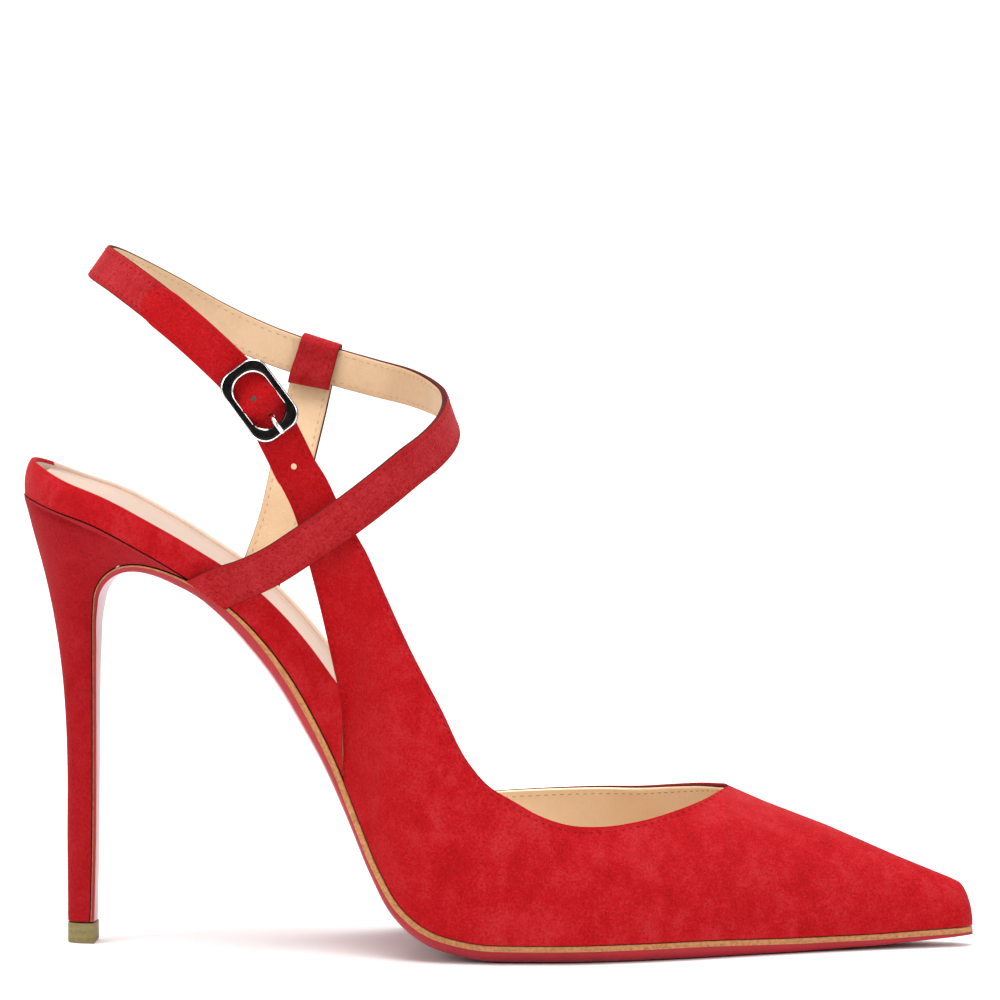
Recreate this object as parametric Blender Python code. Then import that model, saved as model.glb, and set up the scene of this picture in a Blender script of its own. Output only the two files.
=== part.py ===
"""Ankle strap pump for the right foot, with a pointed toe, a slim covered heel and crossing straps.

X runs from the back of the heel to the toe, the outer side of the foot is -Y, and the floor is z = 0.
Tables hold shares of the named sizes. A row is a section of the foot, a section of the heel or a
place on a strap.
"""

import math

import bmesh
import bpy
import numpy as np

MM = 0.001

# Driving sizes of the last and of the shoe
LENGTH = 216 * MM
BALL_WIDTH = 71 * MM
HEEL_WIDTH = 46 * MM
SEAT_HEIGHT = 102.7 * MM
THROAT_HEIGHT = 36.5 * MM
TOE_ROUND = 5 * MM
TOE_RISE = 3.5 * MM
INNER_TOE_ROUND = 2 * MM
ANKLE_WIDTH = 64 * MM
STRAP_HEIGHT = 155.7 * MM

# Sole, heel and inside
SOLE_THICKNESS = 4.2 * MM
SOLE_BAND = 1.3 * MM
SOLE_STEP = 0.35 * MM
SOLE_CLOSE = 0.25 * MM
TOP_PIECE_HEIGHT = 4.9 * MM
COVER_HEIGHT = 8.5 * MM
COVER_WALL = 1.5 * MM
SOCK_THICKNESS = 0.9 * MM
SOCK_DEPTH = 1.3 * MM

# Upper
UPPER_WALL = 1.5 * MM
UPPER_PROUD = 0.8 * MM
TOE_WALL = 4 * MM
TOE_CLOSE = 0.4 * MM
BILLET_TIP = 0.18
WALL_STEPS = 8

# Straps
STRAP_WIDTH = 8.8 * MM
STRAP_THICKNESS = 1.6 * MM
MEDIAL_WIDTH = 10 * MM
WRAP_THICKNESS = 0.8 * MM
WRAP_TAIL = 2.6 * MM
BILLET_LENGTH = 35 * MM
BILLET_WIDTH = 9.2 * MM
BILLET_SINK = 0.56

# Buckle
BUCKLE_LENGTH = 18 * MM
BUCKLE_WIDTH = 11.8 * MM
SIDE_RAIL = 1.6 * MM
END_RAIL = 2.2 * MM
RAIL_HEIGHT = 1.6 * MM
BAR_DIAMETER = 1.2 * MM
PRONG_DIAMETER = 1.1 * MM

# Clearance between pieces that meet
GAP = 0.3 * MM

RED_SUEDE = (0.60, 0.010, 0.016)
RED_SOLE = (0.42, 0.012, 0.022)
SOCK_BEIGE = (0.83, 0.60, 0.47)
BOARD_TAN = (0.74, 0.50, 0.31)
OLIVE = (0.26, 0.21, 0.07)
DARK_METAL = (0.16, 0.14, 0.13)

# Sections of the foot. along: share of LENGTH. rise: share of the lift from the tread to the seat.
# swing: centre, as a share of half the ball width. half: half width, as a share of half the heel
# width behind WAIST_START and of half the ball width ahead of it. rim: height of the cover, as a
# share of COVER_HEIGHT. sole, edge: middle and edge thickness of the sole, as shares of
# SOLE_THICKNESS. flat: how far the underside stays flat before its edge.
FOOT = (
    # along, rise, swing, half, rim, sole, edge, flat
    (0.000, 1.000, 0.00, 1.000, 0.98, 0.75, 0.36, 2),
    (0.040, 0.969, 0.00, 1.000, 0.86, 0.75, 0.36, 2),
    (0.080, 0.940, 0.00, 1.000, 0.81, 0.75, 0.36, 2),
    (0.127, 0.887, -0.01, 0.989, 0.80, 0.60, 0.36, 2),
    (0.181, 0.815, -0.01, 0.903, 0.81, 0.62, 0.42, 2),
    (0.230, 0.738, -0.01, 0.520, 0.84, 1.04, 0.60, 2.5),
    (0.258, 0.675, -0.02, 0.500, 0.87, 1.12, 0.64, 3),
    (0.287, 0.592, -0.035, 0.497, 0.92, 1.12, 0.64, 3),
    (0.312, 0.500, -0.05, 0.510, 0.97, 1.08, 0.62, 3),
    (0.334, 0.407, -0.055, 0.550, 1.00, 0.98, 0.56, 3),
    (0.360, 0.276, -0.055, 0.665, 1.00, 0.80, 0.50, 3),
    (0.385, 0.156, -0.05, 0.790, 0.95, 0.74, 0.54, 3),
    (0.407, 0.080, -0.03, 0.870, 0.86, 0.81, 0.64, 4),
    (0.434, 0.034, -0.02, 0.930, 0.76, 0.93, 0.72, 6),
    (0.468, 0.010, 0.00, 0.975, 0.68, 1.00, 0.76, 9),
    (0.505, 0.001, 0.00, 1.000, 0.65, 1.00, 0.78, 12),
    (0.569, 0.000, 0.015, 0.998, 0.65, 1.00, 0.78, 12),
    (0.648, 0.000, 0.04, 0.900, 0.65, 1.00, 0.78, 12),
    (0.708, 0.000, 0.055, 0.762, 0.65, 1.00, 0.78, 12),
    (0.764, -0.003, 0.07, 0.605, 0.65, 0.93, 0.74, 10),
    (0.824, -0.006, 0.085, 0.450, 0.65, 0.82, 0.68, 8),
    (0.884, -0.006, 0.09, 0.303, 0.65, 0.72, 0.62, 6),
    (0.940, -0.002, 0.09, 0.180, 0.62, 0.62, 0.56, 5),
    (0.977, 0.001, 0.09, 0.110, 0.60, 0.52, 0.50, 4),
    (1.000, 0.003, 0.09, 0.080, 0.60, 0.46, 0.44, 4),
)
WAIST_START = 0.20

# The sole under and in front of the heel, from the tip up to the waist. along and height are
# shares of LENGTH and SEAT_HEIGHT. half: share of half the heel width.
BREAST = (
    # along, height, half, sole
    (0.0700, 0.049, 0.187, 0.22),
    (0.0708, 0.100, 0.183, 0.22),
    (0.0722, 0.220, 0.180, 0.22),
    (0.0730, 0.380, 0.183, 0.22),
    (0.0735, 0.540, 0.205, 0.22),
    (0.0742, 0.655, 0.257, 0.23),
    (0.0760, 0.743, 0.357, 0.25),
    (0.0800, 0.791, 0.470, 0.32),
    (0.0900, 0.823, 0.560, 0.38),
    (0.1050, 0.844, 0.640, 0.43),
    (0.1240, 0.851, 0.715, 0.46),
    (0.1440, 0.846, 0.775, 0.50),
    (0.1680, 0.8300, 0.830, 0.58),
)
LIP_ALONG = 0.176

# Sections of the heel. back_along and back_height: shares of LENGTH and SEAT_HEIGHT.
# front: share of the way from the tip to the lip along the front. half: share of half the heel
# width. bow: how far the middle of the section rises, as a share of the cover height.
HEEL = (
    # back_along, back_height, front, half, bow
    (0.0440, 0.049, 0.000, 0.187, 0),
    (0.0440, 0.100, 0.051, 0.186, 0),
    (0.0436, 0.240, 0.193, 0.188, 0),
    (0.0440, 0.385, 0.338, 0.196, 0),
    (0.0425, 0.500, 0.453, 0.215, 0),
    (0.0385, 0.612, 0.563, 0.262, 0),
    (0.0338, 0.690, 0.635, 0.335, 0),
    (0.0285, 0.758, 0.686, 0.425, 0),
    (0.0225, 0.820, 0.727, 0.550, 0.01),
    (0.0160, 0.877, 0.765, 0.690, 0.03),
    (0.0105, 0.920, 0.810, 0.815, 0.07),
    (0.0055, 0.960, 0.880, 0.925, 0.13),
    (0.0012, 0.990, 1.000, 0.990, 0.16),
)

# Ridge of the closed vamp. along: share of LENGTH. height: share of THROAT_HEIGHT.
RIDGE = (
    # along, height
    (0.7435, 0.990),
    (0.7800, 0.897),
    (0.8460, 0.750),
    (0.9210, 0.557),
    (0.9770, 0.424),
    (1.0000, 0.360),
)
RIDGE_SWING = 0.085

# Section of the cover. depth: into the shoe, as a share of COVER_WALL. height: share of the rim.
COVER_PROFILE = (
    # depth, height
    (0.10, 0.00),
    (-0.22, 0.30),
    (-0.25, 0.62),
    (0.05, 0.90),
    (0.35, 1.00),
    (0.75, 1.00),
    (1.00, 0.90),
    (1.00, 0.00),
)
COVER_LEAN = 26 * MM
COVER_BACK_UPRIGHT = 0.5

# Edge of the throat, from its front backwards. along: share of LENGTH. out: distance from the
# middle, as a share of half the ball width. height: share of THROAT_HEIGHT. lean: how far the wall
# leans in there, in degrees. foot: place of the section at the sole, as a share of LENGTH.
OUTER_EDGE = (
    # along, out, height, lean, foot
    (0.7385, 0.040, 0.993, 80, 0.7400),
    (0.7140, 0.325, 0.940, 56, 0.7165),
    (0.6870, 0.490, 0.893, 44, 0.6900),
    (0.6490, 0.680, 0.847, 34, 0.6530),
    (0.6100, 0.800, 0.827, 27, 0.6150),
    (0.5790, 0.870, 0.844, 22, 0.5830),
    (0.5520, 0.920, 0.899, 18, 0.5530),
    (0.5220, 0.955, 1.000, 14, 0.5190),
    (0.4980, 0.975, 1.090, 12, 0.4900),
    (0.4765, 0.985, 1.240, 10, 0.4610),
    (0.4500, 0.980, 1.548, 8, 0.4280),
    (0.4155, 0.965, 1.940, 6, 0.3860),
    (0.3905, 0.950, 2.260, 5, 0.3440),
)
INNER_EDGE = (
    # along, out, height, lean, foot
    (0.7385, 0.172, 0.998, 80, 0.7400),
    (0.7120, 0.405, 0.978, 58, 0.7150),
    (0.6800, 0.585, 0.950, 45, 0.6840),
    (0.6500, 0.710, 0.926, 37, 0.6545),
    (0.6020, 0.835, 0.910, 27, 0.6060),
    (0.5500, 0.925, 0.888, 19, 0.5530),
    (0.5100, 0.960, 0.870, 14, 0.5110),
    (0.4770, 0.965, 0.856, 11, 0.4760),
    (0.4440, 0.930, 0.862, 8, 0.4410),
    (0.4210, 0.860, 0.904, 6, 0.4170),
    (0.4030, 0.775, 0.990, 5, 0.3970),
    (0.3890, 0.705, 1.095, 4, 0.3820),
    (0.3750, 0.650, 1.215, 3, 0.3680),
)
INNER_SEAM = 0.3560

# The free wing above the waist. Front and rear edges: along as a share of LENGTH, out as a share
# of half the ankle width, height as a share of STRAP_HEIGHT.
WING = (
    # front along, out, height, rear along, out, height
    (0.3815, 1.050, 0.558, 0.3450, 0.775, 0.300),
    (0.3725, 1.040, 0.585, 0.3435, 0.830, 0.365),
    (0.3630, 1.030, 0.608, 0.3345, 0.880, 0.432),
    (0.3530, 1.020, 0.632, 0.3230, 0.930, 0.508),
    (0.3415, 1.015, 0.660, 0.3090, 0.965, 0.585),
    (0.3290, 1.010, 0.695, 0.2950, 0.985, 0.650),
)

# The line of the ankle strap. It starts below the buckle, on the wing. along: share of LENGTH.
# out: share of half the ankle width, negative on the outer side. height: share of STRAP_HEIGHT.
# lean: how far the strap's face turns up, in degrees. width: share of STRAP_WIDTH.
STRAP_LINE = (
    # along, out, height, lean, width
    (0.3008, -1.000, 0.700, 2, 1.00),
    (0.2840, -1.000, 0.748, 2, 1.00),
    (0.2630, -1.010, 0.804, 3, 1.00),
    (0.2390, -1.000, 0.839, 5, 1.00),
    (0.1960, -0.930, 0.894, 10, 1.00),
    (0.1540, -0.780, 0.939, 18, 0.98),
    (0.1130, -0.500, 0.976, 28, 0.97),
    (0.0830, -0.100, 0.998, 35, 0.97),
    (0.0920, 0.300, 0.991, 30, 0.97),
    (0.1170, 0.560, 0.970, 22, 0.98),
    (0.1480, 0.740, 0.944, 15, 0.99),
    (0.1880, 0.880, 0.910, 9, 1.00),
    (0.2450, 0.965, 0.872, 5, 1.00),
    (0.3010, 0.970, 0.845, 4, 1.00),
    (0.3600, 0.870, 0.823, 6, 1.00),
    (0.3995, 0.660, 0.8110, 10, 1.00),
    (0.4320, 0.350, 0.7955, 16, 1.00),
    (0.4475, 0.070, 0.7830, 18, 1.00),
    (0.4515, -0.170, 0.7680, 15, 1.02),
    (0.4470, -0.400, 0.7495, 11, 1.03),
    (0.4335, -0.600, 0.7285, 7, 1.04),
    (0.4140, -0.790, 0.7075, 4, 1.04),
    (0.3900, -0.950, 0.6800, 2, 1.03),
    (0.3510, -1.090, 0.6385, 1, 1.02),
    (0.3070, -1.060, 0.597, -2, 1.00),
    (0.2735, -0.960, 0.567, -4, 1.00),
    (0.2440, -0.845, 0.547, -4, 1.02),
    (0.2240, -0.757, 0.536, -4, 1.06),
    (0.2025, -0.716, 0.5215, -4, 1.10),
)
BUCKLE_ROW = 2

# The strap widens from its turn at the bar over this stretch, and its other end is cut at a slant
WIDEN_START = 9 * MM
WIDEN_SPAN = 7 * MM
END_SLANT = 0.59
SLANT_SPAN = 15 * MM

# Places of the billet's sections past the buckle's bar, as shares of BILLET_LENGTH
BILLET_ROWS = (
    -0.48, -0.37, -0.26, -0.175, -0.13, -0.09, -0.045, 0, 0.045, 0.09, 0.13, 0.175, 0.26, 0.38, 0.52,
    0.68, 0.82, 0.90, 0.95, 0.985, 1,
)

# The inner strap from the waist up to the keeper, on the outside of the ankle strap
MEDIAL_LINE = (
    # along, out, height, lean
    (0.2270, 0.638, 0.4860, -6),
    (0.2420, 0.643, 0.5350, -6),
    (0.2600, 0.745, 0.6100, -8),
    (0.2720, 0.845, 0.6900, -8),
    (0.2830, 0.960, 0.7600, -6),
)
KEEPER_ALONG = 0.2960
KEEPER_DROP = 1.3 * MM
KEEPER_NARROW = 0.93
KEEPER_SLACK = 0.25 * MM
KEEPER_THICKNESS = 0.9 * MM
KEEPER_LEVEL = 0.6

# Prong in the buckle's own lengths: along the strap towards the tip of the billet, and up from
# the line of the strap, as shares of half the buckle's length
PRONG = (
    # along, up
    (0.070, 0.272),
    (0.165, 0.165),
    (0.125, -0.015),
    (-0.030, -0.070),
    (-0.200, -0.050),
    (-0.350, 0.005),
    (-0.450, 0.075),
    (-0.502, 0.190),
    (-0.515, 0.330),
    (-0.540, 0.480),
    (-0.660, 0.590),
    (-0.900, 0.615),
    (-1.010, 0.600),
)
PRONG_HOLE = -0.500
SLOT_BACK = 4 * MM
SLOT_FRONT = 2.9 * MM
PUNCH_REACH = 6 * MM


class Curve:
    """A smooth curve through rows of values, read by the distance along their first columns."""

    def __init__(self, rows, measured, level=False):
        self.rows = np.array(rows, float)
        steps = np.linalg.norm(np.diff(self.rows[:, :measured], axis=0), axis=1)
        self.marks = np.concatenate([[0], np.cumsum(steps)])
        self.length = self.marks[-1]
        rates = np.diff(self.rows, axis=0) / steps[:, None]
        before, after = steps[:-1, None], steps[1:, None]
        middle = (rates[:-1] * after + rates[1:] * before) / (before + after)
        if level:
            same = rates[:-1] * rates[1:] > 0
            limit = 3 * np.minimum(abs(rates[:-1]), abs(rates[1:]))
            middle = np.where(same, np.clip(middle, -limit, limit), 0)
        self.slopes = np.vstack([rates[:1], middle, rates[-1:]])

    def at(self, distance):
        """The values, and how fast each changes, at a distance along the curve."""
        step = int(np.clip(np.searchsorted(self.marks, distance) - 1, 0, len(self.marks) - 2))
        size = self.marks[step + 1] - self.marks[step]
        t = (distance - self.marks[step]) / size
        if t < 0 or t > 1:
            end = 0 if t < 0 else -1
            return self.rows[end] + self.slopes[end] * (distance - self.marks[end]), self.slopes[end]
        start, finish = self.rows[step], self.rows[step + 1]
        leave, arrive = self.slopes[step] * size, self.slopes[step + 1] * size
        values = (
            start * (2 * t**3 - 3 * t**2 + 1)
            + leave * (t**3 - 2 * t**2 + t)
            + finish * (3 * t**2 - 2 * t**3)
            + arrive * (t**3 - t**2)
        )
        rates = (
            (start - finish) * (6 * t**2 - 6 * t)
            + leave * (3 * t**2 - 4 * t + 1)
            + arrive * (3 * t**2 - 2 * t)
        ) / size
        return values, rates

    def reach(self, value, index=0):
        """The distance at which a rising column first reaches a value."""
        return float(np.interp(value, self.rows[:, index], self.marks))


def unit(vector):
    return vector / np.linalg.norm(vector)


def bezier(start, start_handle, end_handle, end, t):
    return (
        start * (1 - t) ** 3
        + 3 * start_handle * t * (1 - t) ** 2
        + 3 * end_handle * t**2 * (1 - t)
        + end * t**3
    )


def ease(t):
    t = min(max(t, 0.0), 1.0)
    return t * t * (3 - 2 * t)


def cap(distance, radius):
    """Share of the full width at a distance from a round end."""
    if distance >= radius:
        return 1.0
    return math.sqrt(max(0.0, 1 - (1 - distance / radius) ** 2))


# The foot: its bottom line and its outline
def foot_curve():
    rows = []
    for along, rise, swing, half, rim, sole, edge, flat in FOOT:
        height = SOLE_THICKNESS + rise * (SEAT_HEIGHT - SOLE_THICKNESS)
        width = half * (HEEL_WIDTH if along < WAIST_START else BALL_WIDTH) / 2
        rows.append(
            (
                along * LENGTH,
                height,
                swing * BALL_WIDTH / 2,
                width,
                rim * COVER_HEIGHT,
                sole * SOLE_THICKNESS,
                edge * SOLE_THICKNESS,
                flat,
            )
        )
    return Curve(rows, 2, level=True)


foot = foot_curve()


def foot_at(distance):
    """Point, tangent and upward normal in the side plane, and the section's values."""
    values, rates = foot.at(distance)
    tangent = unit(np.array([rates[0], 0, rates[1]]))
    normal = np.array([-tangent[2], 0, tangent[0]])
    return np.array([values[0], 0, values[1]]), tangent, normal, values


def half_width(distance, inset=0.0):
    """Half width of the outline, rounded at the heel and the toe."""
    values = foot.at(distance)[0]
    width = values[3] - inset
    back = cap(distance - inset, HEEL_WIDTH / 2 - inset)
    front = cap(foot.length - inset - distance, max(TOE_ROUND - inset, INNER_TOE_ROUND))
    return width * back * front


def on_foot(distance, out, height):
    """A point out from the middle and up from the bottom line."""
    point, _, normal, values = foot_at(distance)
    return point + normal * height + np.array([0, values[2] + out, 0])


def foot_distance(along):
    return foot.reach(along * LENGTH)


# Meshes
def add_object(name, mesh_data, colour, roughness, metallic=0.0):
    mesh = bpy.data.meshes.new(name)
    mesh_data.to_mesh(mesh)
    mesh_data.free()
    material = bpy.data.materials.new(name)
    material.use_nodes = True
    shader = material.node_tree.nodes["Principled BSDF"]
    shader.inputs["Base Color"].default_value = (*colour, 1)
    shader.inputs["Roughness"].default_value = roughness
    shader.inputs["Metallic"].default_value = metallic
    material.diffuse_color = (*colour, 1)
    mesh.materials.append(material)
    mesh.shade_smooth()
    mesh.set_sharp_from_angle(angle=math.radians(50))
    piece = bpy.data.objects.new(name, mesh)
    bpy.context.scene.collection.objects.link(piece)
    return piece


def loft(rings, closed=False):
    """A closed body through rings of as many points each."""
    body = bmesh.new()
    layers = [[body.verts.new(point) for point in ring] for ring in rings]
    pairs = list(zip(layers, layers[1:]))
    if closed:
        pairs.append((layers[-1], layers[0]))
    for lower, upper in pairs:
        for k in range(len(lower)):
            following = (k + 1) % len(lower)
            body.faces.new((lower[k], lower[following], upper[following], upper[k]))
    if not closed:
        body.faces.new(layers[0][::-1])
        body.faces.new(layers[-1])
    bmesh.ops.recalc_face_normals(body, faces=body.faces)
    return body


def even(start, end, count):
    return [start + (end - start) * k / (count - 1) for k in range(count)]


def body_marks(start, end, count, tip_count):
    """Even distances, then some that come closer together over the last part before the toe."""
    turn = start + 0.86 * (end - start)
    return even(start, turn, count) + toe_spaced(turn, end, tip_count)[1:]


def toe_spaced(start, end, count):
    """Distances that come closer together towards the end."""
    return [start + (end - start) * math.sin(math.pi / 2 * k / (count - 1)) for k in range(count)]


# Insole, sock and cover
def board(inset, low, high, count):
    """A board inside the outline, from one height to another above the bottom line."""
    near = inset + 0.02 * HEEL_WIDTH
    far = foot.length - TOE_WALL - 2 * GAP
    radius = HEEL_WIDTH / 2
    marks = [near + (radius - near) * (1 - math.cos(math.pi / 2 * k / 7)) for k in range(7)]
    marks += body_marks(radius, far, count, 7)
    rings = []
    for mark in marks:
        width = half_width(mark, inset)
        across = [-1, -0.94, 0, 0.94, 1]
        ring = [on_foot(mark, width * share, high(mark)) for share in across]
        ring += [on_foot(mark, width * share, low(mark)) for share in (1, -1)]
        rings.append(ring)
    return loft(rings)


def sock_top(mark):
    return foot.at(mark)[0][4] - SOCK_DEPTH


def insole_top(mark):
    return sock_top(mark) - SOCK_THICKNESS - GAP


def make_insole():
    inset = COVER_WALL + GAP
    body = board(inset, lambda mark: GAP, insole_top, 32)
    return add_object("insole", body, BOARD_TAN, 0.7)


def make_sock():
    inset = COVER_WALL + 2 * GAP
    body = board(inset, lambda mark: sock_top(mark) - SOCK_THICKNESS, sock_top, 32)
    return add_object("sock", body, SOCK_BEIGE, 0.55)


def cover_marks(outer_end, inner_end):
    """Places round the back of the outline, as distance and side, with the round back even."""
    radius = HEEL_WIDTH / 2
    marks = [(mark, -1) for mark in even(outer_end, radius, 18)]
    turns = even(math.pi / 2, -math.pi / 2, 17)[1:-1]
    marks += [(radius * (1 - math.cos(turn)), -1 if turn > 0 else 1) for turn in turns]
    marks += [(mark, 1) for mark in even(radius, inner_end, 18)]
    return marks


def under(x, height):
    """The distance along the foot whose point at this height above the bottom line is at x."""
    low, high = -HEEL_WIDTH, foot.length
    for _ in range(40):
        middle = (low + high) / 2
        if on_foot(middle, 0, height)[0] < x:
            low = middle
        else:
            high = middle
    return low


def plumb(mark, height, share):
    """The distance that leans a height at a mark from square to the foot (0) to upright (1)."""
    square = on_foot(mark, 0, height)[0]
    upright = on_foot(mark, 0, 0)[0]
    return under(square + (upright - square) * share, height)


def cover_ring(outline, k, ends):
    place = outline[k]
    before, after = outline[max(k - 1, 0)], outline[min(k + 1, len(outline) - 1)]
    direction = unit(after - before)
    inward = np.array([-direction[1], direction[0]])
    if place[0] >= HEEL_WIDTH / 2:
        inward = np.array([0, -np.sign(place[1])])
    elif inward @ (np.array([HEEL_WIDTH, 0]) - place) < 0:
        inward = -inward
    rim = foot.at(place[0])[0][4]
    end = ends[1] if place[1] > 0 else ends[0]
    upright = ease(1 - (end - place[0]) / COVER_LEAN)
    upright = max(upright, COVER_BACK_UPRIGHT * (1 - place[0] / HEEL_WIDTH))
    ring = []
    for depth, height in COVER_PROFILE:
        spot = place + inward * depth * COVER_WALL
        lift = GAP + height * (rim - GAP)
        ring.append(on_foot(plumb(spot[0], lift, upright), spot[1], lift))
    return ring


def make_heel_cover():
    """The band round the seat, with a soft outer face, ending along the edges of the upper."""
    ends = [foot_distance(seam) - 2 * GAP for seam in (OUTER_EDGE[-1][4], INNER_SEAM)]
    outline = [
        np.array([mark, side * half_width(max(mark, 0))]) for mark, side in cover_marks(*ends)
    ]
    rings = [cover_ring(outline, k, ends) for k in range(len(outline))]
    return add_object("heel_cover", loft(rings), RED_SUEDE, 0.9)


# Outsole and heel
def sole_curve():
    rows = []
    for along, height, half, sole in BREAST:
        rows.append(
            (
                along * LENGTH,
                height * SEAT_HEIGHT,
                0,
                half * HEEL_WIDTH / 2,
                sole * SOLE_THICKNESS,
                0.8 * sole * SOLE_THICKNESS,
                2,
            )
        )
    for mark in even(foot_distance(WAIST_START), foot.length, 70):
        values = foot.at(mark)[0]
        rows.append((*values[:4], *values[5:8]))
    return Curve(rows, 2)


sole_line = sole_curve()
LIP_MARK = sole_line.reach(LIP_ALONG * LENGTH)


def sole_at(distance):
    values, rates = sole_line.at(distance)
    tangent = unit(np.array([rates[0], 0, rates[1]]))
    normal = np.array([-tangent[2], 0, tangent[0]])
    return np.array([values[0], 0, values[1]]), normal, values


def sole_half(distance):
    values = sole_line.at(distance)[0]
    return values[3] * cap(sole_line.length - distance, TOE_ROUND)


def sole_ring(distance):
    """Section of the sole: a flat top, a band at its edge, a small step and a round underside."""
    point, normal, values = sole_at(distance)
    half = sole_half(distance)
    middle, edge, flat = values[4:7]
    band = min(SOLE_BAND, 0.6 * edge)
    step = min(SOLE_STEP, 0.2 * half)
    side = [(half, 0), (half, band), (half - step, band)]
    for share in (0.985, 0.93, 0.80, 0.55, 0.25):
        depth = edge + (middle - edge) * (1 - share**flat)
        if share == 0.985:
            depth = 0.5 * (band + edge)
        side.append(((half - step) * share, depth))
    spots = side + [(0, middle)] + [(-out, depth) for out, depth in side[::-1]]
    swing = np.array([0, values[2], 0])
    return [point + swing + np.array([0, out, 0]) - normal * depth for out, depth in spots]


def make_outsole():
    marks = even(0, LIP_MARK, 26) + even(LIP_MARK, 0.72 * sole_line.length, 23)[1:]
    marks += toe_spaced(0.72 * sole_line.length, sole_line.length - SOLE_CLOSE, 13)[1:]
    return add_object("outsole", loft([sole_ring(mark) for mark in marks]), RED_SOLE, 0.25)


def heel_ring(row, count=7):
    """One section of the heel, from the outer front corner round the back to the inner one."""
    back_along, back_height, front, half, bow = row
    front_mark = front * LIP_MARK
    point, normal, _ = sole_at(front_mark)
    front_point = point + normal * GAP
    front_half = sole_half(front_mark)
    back_point = np.array([back_along * LENGTH, 0, back_height * SEAT_HEIGHT])
    ring = []
    for turn in even(-math.pi / 2, math.pi / 2, 2 * count + 1):
        share = 1 - math.cos(turn) if abs(turn) < math.pi / 2 else 1.0
        share = share**1.15
        width = half * HEEL_WIDTH / 2 * abs(math.sin(turn)) ** 0.9
        width += (front_half - half * HEEL_WIDTH / 2) * share**3
        place = back_point + (front_point - back_point) * share
        place = place + np.array([0, math.copysign(width, turn), 0])
        place[2] += bow * COVER_HEIGHT * 4 * share * (1 - share)
        ring.append(place)
    return ring


def seat_ring(count=7):
    """The top of the heel: the seat outline just under the cover."""
    lip = foot_distance(LIP_ALONG)
    ring = []
    for turn in even(-math.pi / 2, math.pi / 2, 2 * count + 1):
        share = 1 - math.cos(turn) if abs(turn) < math.pi / 2 else 1.0
        mark = lip * share**1.15
        width = half_width(max(mark, 0))
        ring.append(on_foot(mark, math.copysign(width, turn) if turn else 0, 0))
    return ring


def make_heel():
    curve = Curve(HEEL, 3)
    rings = [heel_ring(curve.at(mark)[0]) for mark in toe_spaced(0, curve.length, 30)]
    rings.append(seat_ring())
    return add_object("heel", loft(rings), RED_SUEDE, 0.9)


def make_top_piece():
    tip = heel_ring(HEEL[0])
    flap = BREAST[0][3] * SOLE_THICKNESS + GAP
    rings = []
    for height, grow in ((0, 0.94), (0.3 * MM, 1.0), (TOP_PIECE_HEIGHT - GAP, 1.0)):
        middle = np.mean(tip, axis=0)
        ring = []
        for point in tip:
            place = middle + (point - middle) * grow
            share = (point[0] - tip[len(tip) // 2][0]) / (tip[0][0] - tip[len(tip) // 2][0])
            ring.append((place[0] + flap * share, place[1], height))
        rings.append(ring)
    return add_object("top_piece", loft(rings), OLIVE, 0.5)


# Straps
def ribbon_frame(curve, distance):
    """Place, tangent, outward normal and upward width direction of a strap."""
    values, rates = curve.at(distance)
    place, tangent = values[:3], unit(rates[:3])
    middle = np.array([0.262 * LENGTH, 0, place[2]])
    out = (place - middle) * np.array([(ANKLE_WIDTH / 2 / (0.2 * LENGTH)) ** 2, 1, 0])
    out = unit(out - tangent * (out @ tangent))
    up = np.cross(tangent, out)
    if up[2] < 0:
        up = -up
    lean = math.radians(values[3])
    normal = out * math.cos(lean) + up * math.sin(lean)
    width = up * math.cos(lean) - out * math.sin(lean)
    return place, tangent, normal, width


def strap_curve(table):
    rows = []
    for row in table:
        along, out, height = row[:3]
        rows.append(
            (along * LENGTH, out * ANKLE_WIDTH / 2, height * STRAP_HEIGHT, *row[3:])
        )
    return Curve(rows, 3)


strap_line = strap_curve(STRAP_LINE)
BUCKLE_MARK = strap_line.marks[BUCKLE_ROW]


def band_section(half, thickness):
    """A strap's section with soft corners: width first, then outward."""
    soft = 0.3 * thickness
    t = thickness / 2
    return [
        (half, t - soft), (half - soft, t), (soft - half, t), (-half, t - soft),
        (-half, soft - t), (soft - half, -t), (half - soft, -t), (half, soft - t),
    ]


def ribbon_ring(place, normal, width, half, thickness):
    return [place + width * a + normal * b for a, b in band_section(half, thickness)]


BAR_UP = 0.110 * BUCKLE_LENGTH / 2
BAR_RISE = BAR_DIAMETER / 2 + GAP + WRAP_THICKNESS / 2


def buckle_frame_axes():
    return ribbon_frame(strap_line, BUCKLE_MARK)


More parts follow.
